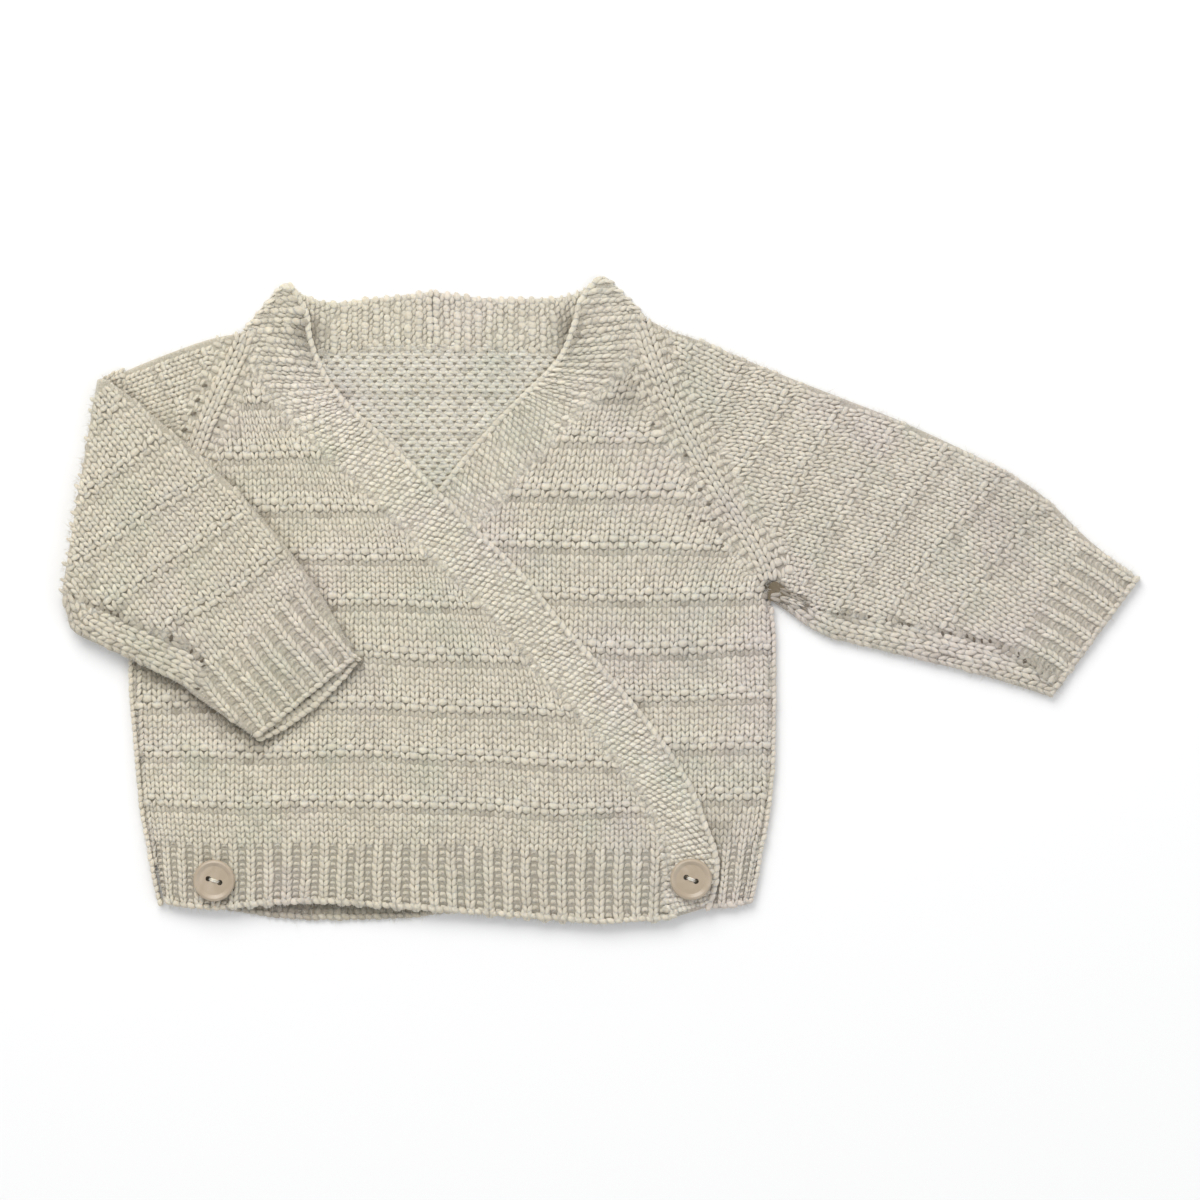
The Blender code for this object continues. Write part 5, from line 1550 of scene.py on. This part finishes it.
def fuzz(node, areas, seed):
    """Needles on a node's faces. An area is (outline, face, number of fibres, layers that hide it).

    Six in ten of them are spread evenly, and the others stand near the outline.
    """
    rng = np.random.default_rng(seed)
    parts = []
    for outline, face, count, hidden in areas:
        field = MAPS[outline].copy()
        for layer in hidden:
            field[MAPS[layer] > 0] = -1.0
        edge = (field > 0.2) & (field < 1.6)
        for near, chosen, share in ((False, field > 1.0, 0.6), (True, edge, 0.4)):
            cells = np.flatnonzero(chosen)
            parts.append(needles(cells, int(count * share), near, outline, face, rng))
    points, tones = (np.concatenate(arrays) for arrays in zip(*parts))
    number = 4 * np.arange(len(points) // 4)[:, None, None]
    tris = (NEEDLE_SIDES + number).reshape(-1, 3)
    return new_piece(node + "_fuzz", points, [tris], STITCH_WOOL, tones, points[:, :2])


FUZZ = {node: fuzz(node, areas, seed) for node, areas, seed in (
    ("right_front", [("right_front", top_front_face, 6500, ("folded_sleeve",))], 501),
    ("left_front", [("left_front", under_front_face, 3600, ("right_front", "top_band"))], 511),
    ("left_sleeve", [("left_sleeve", left_sleeve_face, 3800, ())], 521),
    ("right_sleeve", [("folded_sleeve", folded_sleeve_face, 3000, ()),
                      ("shoulder", shoulder_face, 500, ("folded_sleeve",))], 531),
    ("back", [("back", flat(WALL), 1600,
               ("right_front", "top_band", "left_front", "under_band"))], 541),
    ("right_band", [("top_band", above(top_level, WALL), 2400, ())], 551),
    ("left_band", [("under_band", above(under_level, WALL), 1100,
                    ("top_band", "right_front"))], 561),
)}

# %% [markdown]
# ## The cloth under the stitches
#
# Under the laid stitches every piece has its cloth: a thin closed sheet of the same outline, whose
# wool shows in the gaps, darker as painted shade. It also gives the hidden faces, the edges and
# the side that rests on the table.

# %% Flat panels of cloth
CLOTH_TOP = 0.82
BAND_TONE = 0.9
DARKEST = 5.5
PANEL_GRID = (72, 64)
PANEL_INSET = 0.8
THINNEST = 0.3
MIXING_ROUNDS = 12


def cloth_piece(name, points, faces, lift=BAND_TONE):
    """A sheet of ground wool in painted shade. Its tone is lift, less the painted fold shade."""
    tone = lift - np.minimum(fold_shade(points[:, 0], points[:, 1]), DARKEST)
    return new_piece(name, points, faces, GROUND_WOOL, tone, points[:, :2] / STITCH_WIDTH)


def panel_cloth(name, left_at, right_at, low_at, high_at, face, underside, lift=0.5):
    """A closed sheet between a left and a right edge and a low and a high edge.

    A point at shares u across and v up is mixed between the edges, and rises from the low edge to
    the high one at its own x. Under the ribs of the welt the sheet is darker, as painted shade in
    the deep rib.
    """
    rows, columns = PANEL_GRID
    v = np.linspace(0, 1, rows)[:, None]
    u = np.linspace(0, 1, columns)[None, :]
    x = np.full(PANEL_GRID, -60.0)
    for _ in range(MIXING_ROUNDS):
        y = mix(low_at(x) + PANEL_INSET, high_at(x), v)
        x = mix(left_at(y) + PANEL_INSET, right_at(y) - PANEL_INSET, u)
    lower = underside(x, y)
    upper = np.maximum(face(x, y) - CLOTH_TOP, lower + THINNEST)
    points, faces = closed_shell(spots(x, y, upper), spots(x, y, lower))
    in_welt = soft_step((-88 - points[:, 1]) / 14)
    return cloth_piece(name, points, faces, lift - 1.3 * in_welt)


def edge_at(curve, key, result, shift=0.0):
    """One coordinate of an edge as a function of the other, shifted."""
    return lambda at: read_off(curve, key, result, at) + shift


RIGHT_FRONT_CLOTH = panel_cloth(
    "right_front_cloth", edge_at(RIGHT_SIDE, 1, 0), edge_at(RIGHT_BAND, 3, 2, -0.36),
    edge_at(FRONT_HEM, 0, 1), lambda x: 104.5 + 0 * x, top_front_face, top_level)
LEFT_FRONT_CLOTH = panel_cloth(
    "left_front_cloth", edge_at(LEFT_BAND, 3, 2, 0.36), edge_at(LEFT_SIDE, 1, 0),
    edge_at(UNDER_HEM, 0, 1), lambda x: 108.5 + 0 * x, under_front_face, under_level)
NECK_SEAM = np.concatenate([RIGHT_NECK[::-1, 2:], LEFT_NECK[:, 2:]])
BACK_CLOTH = panel_cloth(
    "back_cloth", edge_at(RIGHT_SIDE, 1, 0), edge_at(LEFT_SIDE, 1, 0),
    edge_at(BACK_HEM, 0, 1), edge_at(NECK_SEAM, 0, 1, -0.6), back_face, table_level, -0.7)

# %% Cloth of the bands
def band_cloth(name, neck, front, side, level_at):
    """A closed strip from the middle of the back neck, over its tip and down the front."""
    outer, inner = [], []
    shares = np.array([0.0, 0.06, 0.3, 0.5, 0.7, 0.94, 1.0])
    sink = CLOTH_TOP * np.array([1.3, 1.0, 1.0, 1.0, 1.0, 1.0, 1.3])

    def section(row):
        return mix(row[0], row[2], shares), mix(row[1], row[3], shares)

    for row in neck:
        x, y = section(row)
        outer.append(spots(x, y, 0.0))
        inner.append(spots(x, y, WALL - sink))
    row = front[0]
    x, y = section(row)
    size = np.hypot(row[3] - row[1], row[2] - row[0])
    out_x, out_y = side * (row[3] - row[1]) / size, side * (row[0] - row[2]) / size
    for angle in np.radians((30, 60, 90, 120, 150)):
        for sheet, radius in ((outer, WALL + GAP / 2 - 0.4), (inner, GAP / 2)):
            reach = radius * np.sin(angle)
            sheet.append(spots(x + out_x * reach, y + out_y * reach,
                               FRONT_LEVEL - GAP / 2 - radius * np.cos(angle)))
    for row in front:
        x, y = section(row)
        base = level_at(x, y)
        outer.append(spots(x, y, base + WALL - sink))
        inner.append(spots(x, y, base))
    return cloth_piece(name, *closed_shell(np.array(outer), np.array(inner)))


RIGHT_BAND_CLOTH = band_cloth("right_band_cloth", RIGHT_NECK, RIGHT_BAND, 1, top_level)
LEFT_BAND_CLOTH = band_cloth("left_band_cloth", LEFT_NECK, LEFT_BAND, -1, under_level)

# %% Cloth of the sleeves
SLEEVE_RING = np.array([0.0, 0.3, 0.65, 1.0])
SLEEVE_WALL = 0.85


def ring_section(width, above_it, below_it, wall):
    """Distances across a flat tube and heights from its middle, round an outer and an inner loop.

    Near an edge the height falls as sqrt(1 - (1 - d / h)^2), with h the height on the flat.
    """
    across = np.linspace(0, 1, 15)[1:-1]
    loops = []
    for inset, top, bottom in ((0.0, above_it, below_it), (wall, above_it - wall, below_it - wall)):
        distance, height = [], []
        for face, level in ((1, top), (-1, bottom)):
            end = SLEEVE_RING * max(top, bottom)
            d = np.concatenate([inset + end, mix(inset + end[-1], width - inset - end[-1], across),
                                (width - inset - end)[::-1]])
            near = np.minimum(d - inset, width - inset - d) / max(top, bottom)
            h = level * np.sqrt(np.clip(1 - (1 - np.clip(near, 0, 1)) ** 2, 0, 1))
            if face < 0:
                d, h = d[::-1][1:-1], -h[::-1][1:-1]
            distance.append(d)
            height.append(h)
        loops.append((np.concatenate(distance), np.concatenate(height)))
    return loops


def tube_cloth(name, rings, creases, outline, visible):
    """A closed tube wall from rings of (low, top, middle height, direction up, above, below).

    The wall on the visible side (1 or -1) of a level ring follows the creases of the face above it.
    """
    outer, inner = [], []
    for low, top, middle, up, above_it, below_it in rings:
        width = np.hypot(*(np.asarray(top) - low))
        sections = ring_section(width, above_it, below_it, SLEEVE_WALL)
        for store, (distance, height) in zip((outer, inner), sections):
            share = distance / width
            x = mix(low[0], top[0], share) + up[0] * height
            y = mix(low[1], top[1], share) + up[1] * height
            z = middle + up[2] * height
            if up[2] == visible:
                wave = faded_creases(creases, depth_in(outline, x, y), x, y) - 0.15
                z = z + wave * (visible * height > 0)
                if visible < 0:
                    z = z + top_level(x, y) + FOLDED_LIFT + SLEEVE_HALF - middle
            store.append(spots(x, y, z))
    points = np.concatenate([np.array(outer).reshape(-1, 3), np.array(inner).reshape(-1, 3)])
    rows, around = len(outer), len(outer[0])
    count = rows * around
    ring = np.arange(around)
    after = np.roll(ring, -1)
    end = np.stack([ring, after, count + after, count + ring], axis=-1)
    faces = [grid_faces(rows, around, 0, True), grid_faces(rows, around, count, True)[:, ::-1],
             end[:, ::-1], end + count - around]
    return cloth_piece(name, points, faces)


FLAT_ABOVE = SLEEVE_HALF - CLOTH_TOP


def level_rings(rows):
    """Rings of a sleeve that lies on the table."""
    return [(row[:2], row[2:], SLEEVE_HALF, (0, 0, 1), FLAT_ABOVE, SLEEVE_HALF) for row in rows]


LEFT_SLEEVE_LINE = smooth_curve([
    # low x, low y, top x, top y
    (16.4, 113.2, 17.6, 113.0), (20.8, 97.5, 28.0, 107.6), (26.8, 82.8, 40.0, 103.6),
    (36.0, 64.0, 59.2, 95.6), (49.6, 41.6, 78.8, 87.6), (62.8, 19.6, 98.4, 80.0),
    (66.8, 2.4, 108.8, 76.0), (75.2, -4.8, 120.8, 71.2), (89.6, -14.0, 140.0, 62.4),
    (110.4, -19.6, 161.2, 52.0), (130.0, -24.4, 178.4, 40.4), (154.0, -30.4, 194.8, 24.4),
    (180.6, -38.8, 215.2, 8.0)], 4)
LEFT_SLEEVE_CLOTH = tube_cloth(
    "left_sleeve_cloth", level_rings(LEFT_SLEEVE_LINE[1:]), LEFT_SLEEVE_CREASES,
    "left_sleeve_round", 1)

TO_FOLD = smooth_curve([
    (-186.4, 6.0, -142.4, 106.8), (-192.0, 0.0, -156.0, 104.2), (-200.0, -1.0, -172.0, 98.6),
    (-206.0, 1.0, -186.0, 93.0), (-211.6, 1.6, -197.2, 88.0)], 3)
FROM_FOLD = smooth_curve([
    (-211.6, 1.6, -197.2, 88.0), (-211.2, -11.2, -190.0, 83.2), (-198.0, -18.6, -180.0, 74.8),
    (-186.4, -24.0, -158.0, 56.4), (-168.0, -33.2, -135.2, 33.2), (-160.8, -38.8, -112.8, 4.8),
    (-136.8, -55.2, -97.2, -22.8)], 4)


def folded_rings():
    """Rings of the folded sleeve: out to the fold, round it and back over the front."""
    rings = level_rings(TO_FOLD[:-1])
    low, top = TO_FOLD[-1][:2], TO_FOLD[-1][2:]
    across = top - low
    width = np.hypot(*across)
    outward = np.array([-across[1], across[0]]) / width
    upper = FRONT_LEVEL + FOLDED_LIFT + SLEEVE_HALF
    axis, radius = (SLEEVE_HALF + upper) / 2, (upper - SLEEVE_HALF) / 2
    for angle in np.radians(np.arange(0, 181, 20)):
        up = (-outward[0] * np.sin(angle), -outward[1] * np.sin(angle), np.cos(angle))
        shift = outward * radius * np.sin(angle)
        share = angle / np.pi
        rings.append((low + shift, top + shift, axis - radius * np.cos(angle), up,
                      mix(FLAT_ABOVE, SLEEVE_HALF, share), mix(SLEEVE_HALF, FLAT_ABOVE, share)))
    for row in FROM_FOLD[1:]:
        x, y = (row[0] + row[2]) / 2, (row[1] + row[3]) / 2
        middle = float(top_level(x, y)) + FOLDED_LIFT + SLEEVE_HALF
        rings.append((row[:2], row[2:], middle, (0, 0, -1), SLEEVE_HALF, FLAT_ABOVE))
    return rings


RIGHT_SLEEVE_CLOTH = tube_cloth(
    "right_sleeve_cloth", folded_rings(), FOLDED_SLEEVE_CREASES, "folded_sleeve", -1)

# %% [markdown]
# ## Saying what the cloth is
#
# A table lists every sheet with the size it was knitted to and the solid it stands for. The numbers
# are in metres, and a sleeve's width is all round its tube. Each sheet's area is printed beside its
# flat size, and its solid is hidden.

# %% Sheets and solids
def mesh_area(piece):
    """Area of a piece's faces in square metres."""
    area = np.empty(len(piece.data.polygons))
    piece.data.polygons.foreach_get("area", area)
    return float(area.sum())


SHEETS = (
    # cloth, solid, width and length in m, how it lies, what it lies on, stitch pieces
    (BACK_CLOTH, "back", (0.254, 0.228), "laid", [], [BACK_PIECE, HEM_EDGES]),
    (RIGHT_FRONT_CLOTH, "right_front", (0.206, 0.228), "laid", [BACK_CLOTH, LEFT_FRONT_CLOTH],
     FRONT_PIECES),
    (LEFT_FRONT_CLOTH, "left_front", (0.204, 0.232), "laid", [BACK_CLOTH], [UNDER_PIECE]),
    (LEFT_SLEEVE_CLOTH, "left_sleeve", (0.180, 0.232), "laid", [],
     [LEFT_SLEEVE_PIECE, CUFF_EDGES, *LEFT_RAGLAN, *LEFT_WRAP]),
    (RIGHT_SLEEVE_CLOTH, "right_sleeve", (0.200, 0.232), "folded", [RIGHT_FRONT_CLOTH],
     [FOLDED_PIECE, SHOULDER_PIECE, FOLDED_EDGES, *RIGHT_RAGLAN, *RIGHT_WRAP]),
    (LEFT_BAND_CLOTH, "left_band", (0.020, 0.42), "laid", [BACK_CLOTH],
     [BAND_PIECES[1], BAND_PIECES[3], UNDER_BAND_EDGES]),
    (RIGHT_BAND_CLOTH, "right_band", (0.020, 0.42), "laid", [LEFT_FRONT_CLOTH],
     [BAND_PIECES[0], BAND_PIECES[2], BAND_EDGES]),
)
for cloth, node, size, held, under, laid in SHEETS:
    half = mesh_area(cloth) / 2
    print(f"{node}: cloth {half * 1e4:.0f} cm2, flat {size[0] * size[1] * 1e4:.0f} cm2")
    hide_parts(node)

# %% [markdown]
# ## Buttons
#
# The buttons stay as the solid model has them, since their lathe-turned form with a raised rim is
# right. They get a satin plastic with the soft cloudy swirl of imitation horn. A pale thread goes
# across each button from one hole to the other, doubled, and sinks into them.

# %% Button plastic
def button_material():
    """Warm beige plastic: a noise clouds the colour, and a clear coat gives the soft highlight."""
    material, tree, shader = new_material("horn_plastic", {
        "Roughness": 0.38, "Specular IOR Level": 0.5, "Coat Weight": 0.25, "Coat Roughness": 0.25})
    place = add_node(tree, "TexCoord", {})
    cloud = add_node(tree, "TexNoise", {
        "Vector": place.outputs["Object"], "Scale": 90.0, "Detail": 3.0, "Distortion": 1.5})
    shade = add_node(tree, "ValToRGB", {"Fac": cloud.outputs["Fac"]})
    for stop, position, colour in zip(shade.color_ramp.elements, (0.35, 0.68), (
            (0.425, 0.345, 0.250, 1), (0.50, 0.418, 0.315, 1))):
        stop.position, stop.color = position, colour
    tree.links.new(shade.outputs["Color"], shader.inputs["Base Color"])
    return material


# %% Button threads
def button_thread(name, x, y, spacing, turn, height):
    """Two strands side by side between the holes, centred on (x, y) and turned by some degrees."""
    way = np.array([np.cos(np.radians(turn)), np.sin(np.radians(turn)), 0.0])
    square = np.array([-way[1], way[0], 0.0])
    half = 0.5 * spacing
    points, quads, tris, uv = gather([
        bead([(-half, -0.28, -0.9), (0.0, -0.30, 0.25), (half, -0.25, -0.9)], 0.42, 0.40),
        bead([(-half, 0.22, -0.9), (0.0, 0.34, 0.30), (half, 0.30, -0.9)], 0.42, 0.40)])
    points = np.array([x, y, height]) + points @ np.stack([way, square, (0.0, 0.0, 1.0)])
    new_piece(name, points, [quads, tris], STITCH_WOOL, np.full(len(points), 1.2), uv)


HORN = button_material()
for node, x, y, spacing, turn in (
        ("button_side", -153.8, -111.8, 4.8, -18.4), ("button_band", 36.3, -111.3, 4.2, -21.7)):
    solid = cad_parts[node]
    solid = bpy.data.objects[solid] if isinstance(solid, str) else solid
    for number in range(len(solid.data.materials)):
        solid.data.materials[number] = HORN
    if not solid.data.materials:
        solid.data.materials.append(HORN)
    corners = np.empty(len(solid.data.vertices) * 3, np.float32)
    solid.data.vertices.foreach_get("co", corners)
    corners = corners.reshape(-1, 3) / MM
    near = np.hypot(corners[:, 0] - x, corners[:, 1] - y) < 4.0
    face_height = float(corners[near, 2].max())
    print(node, "face at", round(face_height, 2), "mm, rim at",
          round(float(corners[:, 2].max()), 2), "mm")
    button_thread(node + "_thread", x, y, spacing, turn, face_height)

# %% [markdown]
# ## Table, light and camera
#
# The garment lies on a pale table under soft daylight from beyond the neck, and the camera looks
# straight down. A long lens far away keeps the flat garment free of perspective.

# %% Table
TABLE_HALF = 2.5
TABLE_Z = -0.0002


def table_top():
    """A pale, matt table."""
    material = new_material(
        "pale_table", {"Base Color": (0.93, 0.93, 0.93, 1), "Roughness": 0.9})[0]
    mesh = bpy.data.meshes.new("table_top")
    corners = [(TABLE_HALF * x, TABLE_HALF * y, TABLE_Z)
               for x, y in ((-1, -1), (1, -1), (1, 1), (-1, 1))]
    mesh.from_pydata(corners, [], [(0, 1, 2, 3)])
    mesh.materials.append(material)
    table = bpy.data.objects.new("table_top", mesh)
    bpy.context.scene.collection.objects.link(table)
    print("table of", 2 * TABLE_HALF, "m")


table_top()

# %% Light
def soft_light(name, place, size, power, colour):
    """A square area light that points at the garment."""
    lamp = bpy.data.lights.new(name, "AREA")
    lamp.size, lamp.energy, lamp.color = size, power, colour
    light = bpy.data.objects.new(name, lamp)
    light.location = place
    x, y, z = place
    light.rotation_euler = (np.arctan2(np.hypot(x, y), z), 0.0, np.arctan2(-x, y) + np.pi)
    bpy.context.scene.collection.objects.link(light)
    print(name, "light,", power, "W")


soft_light("window", (-0.55, 1.30, 1.35), 1.3, 28.0, (1.0, 0.985, 0.96))
soft_light("wall_glow", (1.2, -0.9, 1.4), 1.6, 7.0, (0.96, 0.98, 1.0))
world = bpy.data.worlds.new("studio")
world.use_nodes = True
world.node_tree.nodes["Background"].inputs["Color"].default_value = (0.97, 0.98, 1.0, 1)
world.node_tree.nodes["Background"].inputs["Strength"].default_value = 0.60
bpy.context.scene.world = world
bpy.context.scene.view_settings.view_transform = "Standard"

# %% Camera
CAMERA_HEIGHT = 2.0
VIEW_WIDTH = 0.48
lens = bpy.data.cameras.new("camera")
lens.sensor_width = 36.0
lens.lens = 36.0 * CAMERA_HEIGHT / VIEW_WIDTH
camera = bpy.data.objects.new("camera", lens)
camera.location = (0.0, 0.0, CAMERA_HEIGHT)
bpy.context.scene.collection.objects.link(camera)
bpy.context.scene.camera = camera
print("lens", round(lens.lens, 1), "mm")
